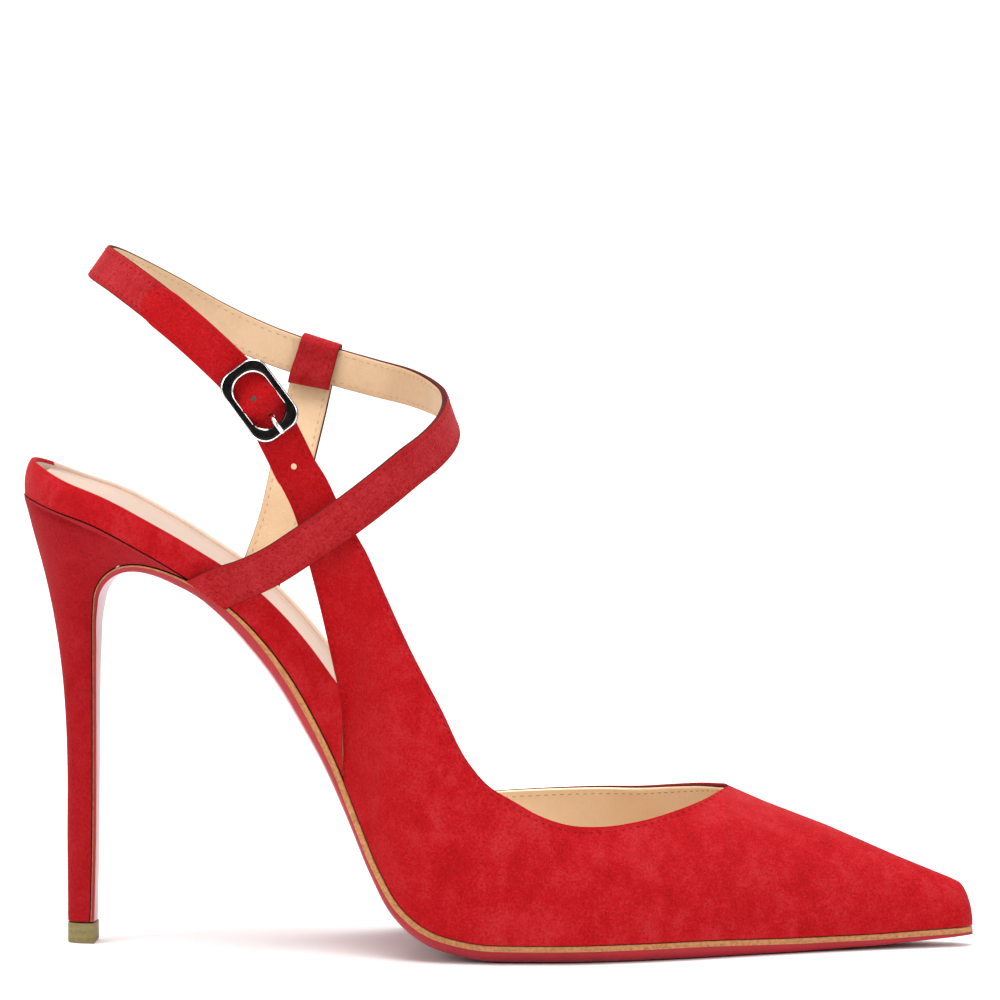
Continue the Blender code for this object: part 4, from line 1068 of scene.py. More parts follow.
# %% [markdown]
# ## Heel and top piece
#
# The heel is a plastic core under a wrap of suede: slim and nearly straight at the tip, then
# flaring back and out to carry the seat. It is lofted from the tip to the seat, and the last ring
# is the outline of the seat itself. The top piece, the rubber that meets the floor, repeats the
# heel's own tip, with a thin line where its two layers are stuck together.


# %% Heel
HEEL_SECTIONS = 110


def heel_body():
    curve = Curve(HEEL, 3)
    rings = [heel_ring(curve.at(mark)[0]) for mark in toe_spaced(0, curve.length, HEEL_SECTIONS)]
    rings.append(seat_ring())
    return loft(rings)


dress(finish_mesh("heel_dressed", heel_body(), [heel_suede]), "heel")
top_piece = finish_mesh("top_piece_dressed", loft(top_piece_rings()), [top_piece_rubber], 30)
dress(top_piece, "top_piece")

# %% [markdown]
# ## Sole
#
# The sole is one strip of leather. Its section has a flat top, a thin upright edge that keeps the
# tan of the leather, a small step, and a rounded, lacquered underside. Each part of the section is
# a strip with its own finish.

# %% Outsole
SOLE_SHARES = even(0.985, 0.0, 22)
# How far in the corners of the tan edge are rounded
SOLE_CORNER = 0.08 * MM
# How far across the tan edge each point lies, from the top down
EDGE_ACROSS = (0, 0.05, 0.5, 0.95, 1, 1)
# The tan band's share of the edge at the heel, what it gains, and the length in which it gains it
BAND_LEAST = 0.24
BAND_PLUS = 0.38
BAND_GROW = 55 * MM


def sole_section(distance):
    """Out from the middle and down from the line, from the top of one edge to its own underside."""
    half = sole_half(distance)
    middle, edge, flat = sole_at(distance)[2][4:7]
    band_share = BAND_LEAST + BAND_PLUS * ease((distance - LIP_MARK) / BAND_GROW)
    band = min(SOLE_BAND, band_share * edge)
    step = min(SOLE_STEP, 0.2 * half)
    side = [(half - SOLE_CORNER, 0), (half, SOLE_CORNER), (half, 0.5 * band)]
    side += [(half, band - SOLE_CORNER), (half - SOLE_CORNER, band), (half - step, band + 0.02 * MM)]
    for share in SOLE_SHARES[:-1]:
        depth = edge + (middle - edge) * (1 - share**flat)
        round_edge = ease((1 - share) / 0.06)
        side.append(((half - step) * share, band + (depth - band) * (0.5 + 0.5 * round_edge)))
    return side, middle


def fine_sole_ring(distance):
    point, normal, values = sole_at(distance)
    side, middle = sole_section(distance)
    spots = side + [(0, middle)] + [(-out, depth) for out, depth in side[::-1]]
    swing = np.array([0, values[2], 0])
    return [point + swing + np.array([0, out, 0]) - normal * depth for out, depth in spots]


def outsole_body():
    marks = even(0, LIP_MARK, 90) + even(LIP_MARK, 0.8 * sole_line.length, 110)[1:]
    marks += toe_spaced(0.8 * sole_line.length, sole_line.length - 0.06 * MM, 50)[1:]
    rings = [fine_sole_ring(mark) for mark in marks]
    count = len(rings[0])
    strips = [1 if min(k, count - 2 - k) < 4 else 0 for k in range(count - 1)] + [0]
    edge = [EDGE_ACROSS[min(k, count - 1 - k, len(EDGE_ACROSS) - 1)] for k in range(count)]
    return loft(rings, [strips] * len(rings), edge)


dress(finish_mesh("outsole_dressed", outsole_body(), [sole_red, sole_tan], 35), "outsole")

# %% [markdown]
# ## Inside: insole and sock
#
# The insole board is hardly seen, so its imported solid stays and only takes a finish. The sock is
# the soft leather that the foot rests on. It lies on the board inside the heel cover, and its cut
# edge is rounded over, so that it catches a line of light.

# %% Insole and sock
insole_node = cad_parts["insole"]
insole_node.data.materials.clear()
insole_node.data.materials.append(board_tan)

# Across, as a share of the half width, and height, as a share of the sock's thickness
SOCK_EDGE = (
    (1.000, 0.00),
    (1.000, 1.25),
    (0.993, 1.50),
    (0.975, 1.55),
    (0.950, 1.42),
    (0.900, 1.10),
    (0.850, 1.00),
)
SOCK_FLAT = even(SOCK_EDGE[-1][0], -SOCK_EDGE[-1][0], 25)[1:-1]


def sock_top(mark):
    return foot.at(mark)[0][4] - SOCK_DEPTH


def sock_body():
    inset = COVER_WALL + 2 * GAP
    near = inset + 0.02 * HEEL_WIDTH
    far = foot.length - TOE_WALL - 2 * GAP
    radius = HEEL_WIDTH / 2
    marks = [near + (radius - near) * (1 - math.cos(math.pi / 2 * k / 30)) for k in range(30)]
    marks += even(radius, 0.9 * far, 120) + toe_spaced(0.9 * far, far, 24)[1:]
    section = [*SOCK_EDGE, *((share, 1.0) for share in SOCK_FLAT)]
    section += [(-share, rise) for share, rise in SOCK_EDGE[::-1]]
    rings = []
    for mark in marks:
        width = half_width(mark, inset)
        low = sock_top(mark) - SOCK_THICKNESS
        rings.append([on_foot(mark, width * a, low + SOCK_THICKNESS * b) for a, b in section])
    return loft(rings)


dress(finish_mesh("sock_dressed", sock_body(), [sock_leather], 40), "sock")

# %% [markdown]
# ## Heel cover
#
# The cover is the low band that wraps the seat. It is suede outside, drawn over a soft round rim,
# and lined inside. At the very back the suede goes on over the rim. Its rings follow the outline
# round the back, and each one leans from square to upright before it meets the upper.


# %% Cover sections
def cover_marks(outer_end, inner_end):
    """Places round the back of the outline, as distance and side, with the round back even."""
    radius = HEEL_WIDTH / 2
    marks = [(mark, -1) for mark in even(outer_end, radius, 90)]
    turns = even(math.pi / 2, -math.pi / 2, 61)[1:-1]
    marks += [(radius * (1 - math.cos(turn)), -1 if turn > 0 else 1) for turn in turns]
    marks += [(mark, 1) for mark in even(radius, inner_end, 90)]
    return marks


def under(x, height):
    """The distance along the foot whose point at this height above the bottom line is at x."""
    low, high = -HEEL_WIDTH, foot.length
    for _ in range(40):
        middle = (low + high) / 2
        if on_foot(middle, 0, height)[0] < x:
            low = middle
        else:
            high = middle
    return low


def plumb(mark, height, share):
    """The distance that leans a height at a mark from square to the foot (0) to upright (1)."""
    square = on_foot(mark, 0, height)[0]
    upright = on_foot(mark, 0, 0)[0]
    return under(square + (upright - square) * share, height)


def smooth_profile():
    """The cover's section with its corners rounded, as depth and height shares."""
    spots = [(depth * COVER_WALL, height * COVER_HEIGHT) for depth, height in COVER_PROFILE[:-1]]
    curve = Curve(spots, 2)
    fine = [curve.at(mark)[0] for mark in even(0, curve.length, 30)]
    return [(a / COVER_WALL, b / COVER_HEIGHT) for a, b in fine] + [(1.0, 0.45), COVER_PROFILE[-1]]


FINE_PROFILE = smooth_profile()
TOP_SPOT = max(range(len(FINE_PROFILE)), key=lambda k: FINE_PROFILE[k][1])


def cover_ring(outline, k, ends):
    place = outline[k]
    before, after = outline[max(k - 1, 0)], outline[min(k + 1, len(outline) - 1)]
    direction = unit(after - before)
    inward = np.array([-direction[1], direction[0]])
    if place[0] >= HEEL_WIDTH / 2:
        inward = np.array([0, -np.sign(place[1])])
    elif inward @ (np.array([HEEL_WIDTH, 0]) - place) < 0:
        inward = -inward
    rim = foot.at(place[0])[0][4]
    end = ends[1] if place[1] > 0 else ends[0]
    upright = ease(1 - (end - place[0]) / COVER_LEAN)
    upright = max(upright, COVER_BACK_UPRIGHT * (1 - place[0] / HEEL_WIDTH))
    ring = []
    for depth, height in FINE_PROFILE:
        spot = place + inward * depth * COVER_WALL
        lift = GAP + height * (rim - GAP)
        ring.append(on_foot(plumb(spot[0], lift, upright), spot[1], lift))
    return ring


print("cover section:", len(FINE_PROFILE), "points")


# %% Heel cover
# How far from the back the suede goes over the rim, and over how many strips of the section
WRAP_REACH = 3 * MM
WRAP_OVER = 3
# The height share above which the nap is worn
WORN_FROM = 0.86


def cover_body():
    ends = [foot_distance(seam) - 2 * GAP for seam in (OUTER_EDGE[-1][4], INNER_SEAM)]
    outline = [np.array([mark, side * half_width(max(mark, 0))]) for mark, side in cover_marks(*ends)]
    rings = [cover_ring(outline, k, ends) for k in range(len(outline))]
    last = len(FINE_PROFILE) - 1
    strips = []
    for place in outline:
        wrap = TOP_SPOT + (WRAP_OVER if place[0] < WRAP_REACH else 0)
        strips.append([1 if wrap <= k < last else 0 for k in range(last + 1)])
    edge = [ease((height - WORN_FROM) / (1 - WORN_FROM)) for _, height in FINE_PROFILE]
    edge = [share if k <= TOP_SPOT else 0 for k, share in enumerate(edge)]
    return loft(rings, strips, edge)


heel_cover = finish_mesh("heel_cover_dressed", cover_body(), [cover_suede, cover_lining], 60)
dress(heel_cover, "heel_cover")

# %% [markdown]
# ## Straps
#
# A strap is two skins glued back to back: suede outside, smooth leather inside, and a painted edge.
# Its section has round corners, and a frame of three directions carries it along a line in space:
# along the strap, out from the ankle and up across its width. Width, thickness and lean change
# slowly along the line, which is what makes it lie like leather and not like wire.


# %% The section of a strap
FACE_SHARES = even(1, -1, 9)
EDGE_SHADE = 0.8 * MM


def strap_section(half, thickness):
    """Across and outward, round the section: outer face, edge, inner face, edge."""
    soft = 0.36 * thickness
    wide, high = half - soft, thickness / 2 - soft
    spots = []
    for corner, (a, b) in enumerate(((wide, high), (-wide, high), (-wide, -high), (wide, -high))):
        for turn in even(corner * math.pi / 2, (corner + 1) * math.pi / 2, 5):
            spots.append((a + soft * math.cos(turn), b + soft * math.sin(turn)))
        if corner in (0, 2):
            side = 1 if corner == 0 else -1
            inner = wide - EDGE_SHADE
            for share in FACE_SHARES:
                spots.append((inner * share * side, thickness / 2 * side))
    return spots


# Strips in the order of the section: 0 suede, 1 painted edge, 2 lining
STRAP_STRIPS = [1, 1, 0, 0] + [0] * 10 + [0, 0, 1, 1] + [1] + [1, 1, 2, 2] + [2] * 10 + [2, 2, 1, 1] + [1]
STRAP_NEAR = [1] * 5 + [0] * 9 + [1] * 10 + [0] * 9 + [1] * 5


def strap_ring(place, normal, width, half, thickness):
    return [place + width * a + normal * b for a, b in strap_section(half, thickness)]


def strap_body(rows):
    rings = [strap_ring(*row) for row in rows]
    return loft(rings, [STRAP_STRIPS] * len(rings), STRAP_NEAR, ends=1)


print("strap section:", len(STRAP_NEAR), "points")


# %% Lines of the straps
def ribbon_frame(curve, distance):
    """Place, tangent, outward normal and upward width direction of a strap."""
    values, rates = curve.at(distance)
    place, tangent = values[:3], unit(rates[:3])
    middle = np.array([0.262 * LENGTH, 0, place[2]])
    out = (place - middle) * np.array([(ANKLE_WIDTH / 2 / (0.2 * LENGTH)) ** 2, 1, 0])
    out = unit(out - tangent * (out @ tangent))
    up = np.cross(tangent, out)
    if up[2] < 0:
        up = -up
    lean = math.radians(values[3])
    normal = out * math.cos(lean) + up * math.sin(lean)
    width = up * math.cos(lean) - out * math.sin(lean)
    return place, tangent, normal, width


def strap_curve(table):
    rows = []
    for row in table:
        along, out, height = row[:3]
        rows.append((along * LENGTH, out * ANKLE_WIDTH / 2, height * STRAP_HEIGHT, *row[3:]))
    return Curve(rows, 3)


strap_line = strap_curve(STRAP_LINE)
BUCKLE_MARK = strap_line.marks[BUCKLE_ROW]
BAR_UP = 0.110 * BUCKLE_LENGTH / 2
BAR_RISE = BAR_DIAMETER / 2 + GAP + WRAP_THICKNESS / 2


def inner_mark(along):
    """Where the strap's line passes a place on the inner side of the ankle."""
    for mark in even(BUCKLE_MARK, strap_line.length, 400):
        values = strap_line.at(mark)[0]
        if values[1] > 0.5 * ANKLE_WIDTH / 2 and values[0] >= along:
            return mark
    return strap_line.length / 2


def keeper_spots(half_strap):
    """The flat fold over the ankle strap: across and up from its line, way out, and thickness."""
    rise = GAP + KEEPER_THICKNESS / 2
    reach = STRAP_THICKNESS / 2 + rise + KEEPER_SLACK
    low = half_strap + GAP
    thin = KEEPER_THICKNESS
    spots = [
        (reach + GAP, -1.25 * half_strap, 0, STRAP_THICKNESS),
        (reach, -0.45 * half_strap, 0, thin),
        (reach, 0.5 * half_strap, 0, thin),
    ]
    for turn in even(0, math.pi, 9):
        out = math.atan2(math.sin(turn) * reach, math.cos(turn) * rise)
        spots.append((reach * math.cos(turn), half_strap + rise * math.sin(turn), out, thin))
    spots += [(-reach, 0.3 * half_strap, math.pi, thin), (-reach, -low, math.pi, thin)]
    spots.append((-0.5 * reach, -low - KEEPER_DROP, math.pi, thin))
    return spots


print("ankle strap", round((strap_line.length - BUCKLE_MARK) / MM), "mm long")

# %% [markdown]
# ## Ankle strap
#
# The strap starts by turning round the buckle's bar, where it is pared thin, and it then circles the
# ankle and crosses down to the outer waist. A slot lets the prong through where it turns.


# %% Ankle strap
def ankle_rows():
    """Place, outward normal, width direction, half width and thickness, along the whole strap."""
    place, tangent, normal, width = ribbon_frame(strap_line, BUCKLE_MARK)
    inner_half = BUCKLE_WIDTH / 2 - SIDE_RAIL - GAP
    thin_half = inner_half - 0.7 * GAP
    tail = place + tangent * WRAP_TAIL + normal * (BAR_UP - BAR_RISE)
    rows = [(tail, -normal, width, thin_half, WRAP_THICKNESS)]
    for turn in even(-math.pi / 2, -3 * math.pi / 2, 19):
        outward = tangent * math.cos(turn) + normal * math.sin(turn)
        rows.append((place + normal * BAR_UP + outward * BAR_RISE, outward, width, thin_half, WRAP_THICKNESS))
    settle = BILLET_SINK * BUCKLE_LENGTH / 2
    full, end = WIDEN_START + WIDEN_SPAN, strap_line.length - BUCKLE_MARK
    for mark in even(BAR_DIAMETER, full, 26) + even(full, end, 250)[1:]:
        place, tangent, normal, width = ribbon_frame(strap_line, BUCKLE_MARK + mark)
        down = 1 - ease(mark / settle)
        half = strap_line.at(BUCKLE_MARK + mark)[0][4] * STRAP_WIDTH / 2
        half += (inner_half - half) * (1 - ease((mark - WIDEN_START) / WIDEN_SPAN))
        thickness = STRAP_THICKNESS + (WRAP_THICKNESS - STRAP_THICKNESS) * down
        slanted = width + tangent * END_SLANT * ease(1 - (end - mark) / SLANT_SPAN)
        rows.append((place + normal * (BAR_UP + BAR_RISE) * down, normal, slanted, half, thickness))
    return rows


ANKLE_ROWS = ankle_rows()
STRAP_PAINTS = [strap_suede, edge_paint, lining]
ankle_strap = finish_mesh("ankle_strap_dressed", strap_body(ANKLE_ROWS), STRAP_PAINTS, 60)
dress(ankle_strap, "ankle_strap")

# %% [markdown]
# ## Inner strap and its loop
#
# On the inner side a second strap stands up from the waist, folds over the ankle strap and comes a
# little way down inside it. That fold is the loop that keeps the ankle strap in place. The rows of
# the line and of the fold go through one smooth curve, so the leather bends without a corner.


# %% Inner strap
def medial_frames():
    """Place, outward normal, width direction, half width and thickness of each row."""
    curve = strap_curve(MEDIAL_LINE)
    half = MEDIAL_WIDTH / 2
    rows = []
    for distance in even(0, curve.length, 14):
        place, tangent, out, _ = ribbon_frame(curve, distance)
        forward = unit(np.cross(tangent, out))
        forward = forward if forward[0] > 0 else -forward
        rows.append(np.concatenate([place, out, forward, [half, STRAP_THICKNESS]]))
    mark = inner_mark(KEEPER_ALONG * LENGTH)
    centre, tangent, normal, width = ribbon_frame(strap_line, mark)
    side = tangent if tangent[0] > 0 else -tangent
    half_strap = strap_line.at(mark)[0][4] * STRAP_WIDTH / 2
    for across, height, turn, thickness in keeper_spots(half_strap):
        settled = ease(1 - (height + 2 * half_strap) / (3 * half_strap))
        narrow = KEEPER_NARROW + (1 - KEEPER_NARROW) * settled
        out = normal * math.cos(turn) + width * math.sin(turn)
        place = centre + normal * (across - KEEPER_SLACK) + width * height
        level = KEEPER_LEVEL if across < 0 and height < 0 else 1
        forward = unit(side * np.array([1, 1, level]))
        rows.append(np.concatenate([place, out, forward, [half * narrow, thickness]]))
    return rows


def medial_rows():
    curve = Curve(medial_frames(), 3)
    rows = []
    for mark in even(0, curve.length, 130):
        values = curve.at(mark)[0]
        rows.append((values[0:3], unit(values[3:6]), unit(values[6:9]), values[9], values[10]))
    return rows


MEDIAL_ROWS = medial_rows()
MEDIAL_PAINTS = [medial_suede, edge_paint, lining]
medial_strap = finish_mesh("medial_strap_dressed", strap_body(MEDIAL_ROWS), MEDIAL_PAINTS, 60)
dress(medial_strap, "medial_strap")

# %% [markdown]
# ## Upper
#
# The upper is the vamp, the wing that climbs over the arch and the billet that passes through the
# buckle, all cut from one piece of suede with its lining. Every row gives the top edge and the foot
# of the wall with the direction in which each faces, and a curve square to both fills in between.
# The outer and inner skins come from the same rows, a wall apart, so the shoe stays hollow. Where leather
# bends it isn't perfectly even: a table of soft folds adds that.


# %% Rows of the upper
# Room that a prong or the billet has in what it passes through
SNUG = 0.08 * MM
WALL_ROWS = 28
# Stations on the outer wall before the rear edge of its wing
OUTER_COUNT = 112


def billet_rise(distance):
    """Height of the billet over the strap's line, by distance past the buckle's bar."""
    over_strap = STRAP_THICKNESS / 2 + GAP + UPPER_WALL / 2
    over_bar = BAR_UP + BAR_RISE + WRAP_THICKNESS / 2 + GAP + UPPER_WALL / 2
    half = BUCKLE_LENGTH / 2
    if distance > 0:
        return over_strap + (over_bar - over_strap) * (1 - ease(distance / (BILLET_SINK * half)))
    before_bar = 0.8 * over_strap
    if distance > -half:
        return before_bar + (over_bar - before_bar) * (1 - ease(-distance / (BILLET_SINK * half)))
    return before_bar * (1 - ease((-distance - half) / (0.9 * half)))


def billet_half(distance):
    """Half width: narrow between the side rails, and wider as soon as it has sunk below them."""
    inside = BUCKLE_WIDTH / 2 - SIDE_RAIL - SNUG
    full = (BILLET_WIDTH if distance < 0 else STRAP_WIDTH) / 2
    sunk = 0.42 * BUCKLE_LENGTH / 2
    half = inside + (full - inside) * ease((abs(distance) - sunk) / (0.25 * BUCKLE_LENGTH / 2))
    left = BILLET_LENGTH - distance
    return half * (BILLET_TIP + (1 - BILLET_TIP) * cap(max(left, 0), 0.65 * BILLET_WIDTH))


def side_row(top, base, top_normal, base_normal):
    return np.concatenate([top, base, unit(top_normal), unit(base_normal)])


def foot_point(distance, side, inset):
    """Where the wall of the upper stands on the sole."""
    wide = half_width(distance) + UPPER_PROUD * cap(foot.length - distance, TOE_ROUND) - inset
    return on_foot(distance, side * wide, GAP)


def edge_rows(table, side):
    """Rows along the throat's edge, close enough together for their bases to follow the sole."""
    curve = Curve(
        [
            (along * LENGTH, out * BALL_WIDTH / 2, height * THROAT_HEIGHT, lean, foot_distance(base))
            for along, out, height, lean, base in table
        ],
        3,
    )
    rows = []
    for distance in even(0, curve.length, 4 * len(table)):
        x, out, height, lean, mark = curve.at(distance)[0]
        lean = math.radians(lean)
        top_normal = np.array([0, side * math.cos(lean), math.sin(lean)])
        top = np.array([x, side * out, height])
        rows.append(side_row(top, foot_point(mark, side, 0), top_normal, np.array([0, side, -0.12])))
    if side > 0:
        seam = foot_distance(INNER_SEAM)
        rim = foot.at(seam)[0][4]
        top = on_foot(plumb(seam, rim, 1), half_width(seam) + UPPER_PROUD, rim)
        top_normal = np.array([0, 1.0, 0.02])
        rows.append(side_row(top, foot_point(seam, side, 0), top_normal, np.array([0, 1.0, -0.12])))
    return rows


def wing_rows():
    rows = []
    for along, out, height, rear_along, rear_out, rear_height in WING:
        top = np.array([along * LENGTH, -out * ANKLE_WIDTH / 2, height * STRAP_HEIGHT])
        base = np.array([rear_along * LENGTH, -rear_out * ANKLE_WIDTH / 2, rear_height * STRAP_HEIGHT])
        rows.append(side_row(top, base, np.array([0, -1, 0.06]), np.array([-0.04, -1, 0.02])))
    return rows


def billet_row(distance):
    place, _, normal, width = ribbon_frame(strap_line, BUCKLE_MARK + distance)
    centre = place + normal * (billet_rise(distance) + UPPER_WALL / 2)
    half = billet_half(distance)
    return side_row(centre + width * half, centre - width * half, normal, normal)


def ridge_curve():
    rows = []
    for along, height in RIDGE:
        rows.append((foot_distance(along), height * THROAT_HEIGHT))
    return np.array(rows)


ridge = ridge_curve()
THROAT_MARK = ridge[0][0]


def arch_row(distance, side):
    """A closed section of the vamp, ahead of the throat."""
    point = foot_at(distance)[0]
    height = np.interp(distance, ridge[:, 0], ridge[:, 1]) - point[2]
    height = point[2] + height * cap(foot.length - distance, TOE_RISE)
    top = np.array([point[0], RIDGE_SWING * BALL_WIDTH / 2, height])
    base_normal = np.array([0, side, -0.12])
    return side_row(top, foot_point(distance, side, 0), np.array([0, 0, 1.0]), base_normal)


def side_stations(rows, count):
    curve = Curve(rows, 6)
    return [curve.at(mark)[0] for mark in even(0, curve.length, count)]


def wall_section(row, inset, shares):
    """Points from the top edge down to the base, on a smooth curve square to both normals."""
    top, base = row[0:3], row[3:6]
    top_normal, base_normal = unit(row[6:9]), unit(row[9:12])
    top = top - top_normal * inset
    base = base - base_normal * np.array([1, 1, 0]) * inset
    chord = base - top
    leave = chord - top_normal * (chord @ top_normal)
    arrive = -chord + base_normal * (chord @ base_normal)
    turn = max(0.01, math.acos(min(1.0, top_normal @ base_normal)))
    handle = 4 / 3 * math.tan(turn / 4) / math.sin(turn)
    return [bezier(top, top + leave * handle, base + arrive * handle, base, t) for t in shares]


def wall_shares(row):
    """Places down the wall: one close to each edge, and even ones between."""
    near = min(EDGE_SHADE / np.linalg.norm(row[3:6] - row[0:3]), 0.09)
    return [0] + even(near, 1 - near, WALL_ROWS - 1) + [1]


print("throat at", round(THROAT_MARK / MM), "mm along the foot")

# %% Soft folds
# Place on the shoe, direction of the fold, its half length and half width in mm, and its depth in mm
FOLDS = (
    # along, out, height, direction, long, wide, deep
    (0.420, -0.95, 0.27, (0.5, 0, 1), 16, 5.0, 0.35),
    (0.452, -0.97, 0.20, (0.9, 0, 0.6), 13, 4.0, 0.25),
    (0.375, -0.90, 0.36, (0.2, 0, 1), 15, 5.0, 0.30),
    (0.600, -0.80, 0.10, (1, 0, 0.25), 18, 5.5, 0.25),
    (0.700, -0.45, 0.19, (1, 0.4, 0.3), 14, 5.0, 0.20),
    (0.810, -0.20, 0.13, (1, 0, -0.3), 17, 5.0, 0.20),
    (0.470, 0.90, 0.16, (0.8, 0, 0.8), 14, 5.0, 0.30),
    (0.640, 0.70, 0.13, (1, 0, 0.1), 16, 5.0, 0.25),
)


def fold_table():
    rows = []
    for along, out, height, direction, long, wide, deep in FOLDS:
        place = np.array([along * LENGTH, out * BALL_WIDTH / 2, height * STRAP_HEIGHT])
        rows.append((place, unit(np.array(direction, float)), long * MM, wide * MM, deep * MM))
    return rows


def fold_depth(point):
    """How far the folds push the wall in at a point."""
    total = 0.0
    for place, direction, long, wide, deep in SOFT_FOLDS:
        gap = point - place
        away = gap @ direction
        across = math.sqrt(max(0.0, gap @ gap - away * away))
        total += deep * math.exp(-((away / long) ** 2)) * math.exp(-((across / wide) ** 2))
    return total


SOFT_FOLDS = fold_table()
print("folds:", len(SOFT_FOLDS))


# %% Skins of the upper
def upper_stations():
    """The vamp's arches, and the rows behind them on the outer and the inner side."""
    arches = toe_spaced(THROAT_MARK, foot.length - 0.05 * MM, 70)
    shares = even(-0.48, 0.97, 92) + even(0.972, 1, 8)
    billet_rows = [billet_row(share * BILLET_LENGTH) for share in shares]
    outer_rows = [arch_row(THROAT_MARK, -1)] + edge_rows(OUTER_EDGE, -1) + wing_rows()
    outer = side_stations(outer_rows + billet_rows[:1], 170)[:-1] + billet_rows
    inner = side_stations([arch_row(THROAT_MARK, 1)] + edge_rows(INNER_EDGE, 1), 120)
    return arches, outer, inner


def skin_points(arches, outer, inner, inset):
    """The points of one skin, keyed by side, station and place down the wall."""
    last = foot.length - (TOE_WALL if inset else 0.05 * MM)
    span = (last - THROAT_MARK) / (arches[-1] - THROAT_MARK)
    vamp = [THROAT_MARK + (mark - THROAT_MARK) * span for mark in arches[::-1]]
    points = {}
    for side, behind in ((-1, outer), (1, inner)):
        rows = [arch_row(mark, side) for mark in vamp] + behind[1:]
        for i, row in enumerate(rows):
            for j, point in enumerate(wall_section(row, inset, wall_shares(row))):
                middle = math.sin(math.pi * j / WALL_ROWS)
                facing = unit(row[6:9]) * (1 - j / WALL_ROWS) + unit(row[9:12]) * (j / WALL_ROWS)
                points[side, i, j] = point - facing * fold_depth(point) * middle
    return points


def skin_outlines(vamp_count, counts):
    """The faces of a skin, as keys of their corners."""
    faces = []
    for side in (-1, 1):
        for i in range(counts[side] - 1):
            for j in range(WALL_ROWS):
                faces.append([(side, i, j), (side, i + 1, j), (side, i + 1, j + 1), (side, i, j + 1)])
    down = [(-1, 0, j) for j in range(WALL_ROWS, -1, -1)]
    return faces + [down + [(1, 0, j) for j in range(1, WALL_ROWS + 1)]]


print("wall rows:", WALL_ROWS)


# %% Upper
RIM_ROUND = 0.20 * MM


def out_of_edge(vert):
    """The direction that leads off the skin at a point of its edge."""
    inside = [edge.other_vert(vert).co for edge in vert.link_edges if not edge.is_boundary]
    if not inside:
        inside = [face.calc_center_median() for face in vert.link_faces]
    middle = sum(inside, Vector()) / len(inside)
    return (vert.co - middle).normalized()


def close_rims(body, partner, near):
    """Joins the two skins along their edges with a rounded rim in three strips."""
    rims = [edge for edge in body.edges if edge.is_boundary and edge.verts[0] in partner]
    rounded = {}
    for edge in rims:
        for vert in edge.verts:
            if vert not in rounded:
                inner = partner[vert]
                off = out_of_edge(vert) * RIM_ROUND
                if off.z < -0.5 * RIM_ROUND:
                    off = Vector()
                rounded[vert] = [vert]
                for share in (0.28, 0.72):
                    made = body.verts.new(vert.co.lerp(inner.co, share) + off)
                    made[near] = 1.0
                    rounded[vert].append(made)
                rounded[vert].append(inner)
    for edge in rims:
        a, b = edge.verts
        for k, paint in enumerate((0, 1, 2)):
            face = body.faces.new((rounded[a][k], rounded[b][k], rounded[b][k + 1], rounded[a][k + 1]))
            face.material_index = paint


def upper_body():
    arches, outer, inner = upper_stations()
    counts = {-1: len(arches) + len(outer) - 1, 1: len(arches) + len(inner) - 1}
    outlines = skin_outlines(len(arches), counts)
    body = bmesh.new()
    near = body.verts.layers.float.new("near_edge")
    skins = []
    for inset, paint in ((0.0, 0), (UPPER_WALL, 2)):
        grid = {}
        for key, point in skin_points(arches, outer, inner, inset).items():
            side, i, j = key
            if j == 0 and side == 1 and i < len(arches):
                grid[key] = grid[-1, i, 0]
                continue
            grid[key] = body.verts.new(point)
            at_rear = j == WALL_ROWS and i > len(arches) + OUTER_COUNT
            at_edge = i >= len(arches) - 1 and (j == 0 or at_rear)
            grid[key][near] = 1.0 if at_edge or i == counts[side] - 1 else 0.0
        for keys in outlines:
            body.faces.new([grid[key] for key in keys]).material_index = paint
        skins.append(grid)
    close_rims(body, {skins[0][key]: skins[1][key] for key in skins[0]}, near)
    return body


# the inner skin takes the lining painted lighter, as painted light in the shaded throat
upper = finish_mesh("upper_dressed", upper_body(), [upper_suede, edge_paint, throat_lining_painted_light], 60)
dress(upper, "upper")

# %% [markdown]
# ## Holes
#
# The billet is punched for the prong. A punch is a short rod, and a Boolean takes it out of the leather.
# Light falls through the lower spare hole. The one inside the buckle ends in a floor painted dark as shade.


# %% Rods and punches
def tube_body(points, radius, sideways, sides, taper=(1.0,)):
    """A round rod through the points. taper: share of the radius at the first places from each end."""
    rings = []
    for k, point in enumerate(points):
        before, after = points[max(k - 1, 0)], points[min(k + 1, len(points) - 1)]
        along = unit(after - before)
        one = unit(sideways - along * (sideways @ along))
        two = np.cross(along, one)
        from_end = min(k, len(points) - 1 - k)
        size = radius * (taper[from_end] if from_end < len(taper) else 1)
        rings.append([point + (one * math.cos(turn) + two * math.sin(turn)) * size for turn in circle(sides)])
    return loft(rings)


def use_boolean(target, tool, operation):
    """Runs one Boolean, keeps its mesh and takes the tool away."""
    modifier = target.modifiers.new(operation.lower(), "BOOLEAN")
    modifier.operation = operation
    modifier.object = tool
    modifier.solver = "EXACT"
    modifier.material_mode = "TRANSFER"
    graph = bpy.context.evaluated_depsgraph_get()
    mesh = bpy.data.meshes.new_from_object(target.evaluated_get(graph))
    target.modifiers.clear()
    target.data = mesh
    bpy.data.objects.remove(tool)


PRONG_PLACE = PRONG_HOLE * BUCKLE_LENGTH / 2
# Distances along the billet from the buckle's bar
SPARE_HOLES = (-16.4 * MM, 1.1 * MM)
HOLE_ACROSS = -0.7 * MM
HOLE_RADIUS = 0.68 * MM


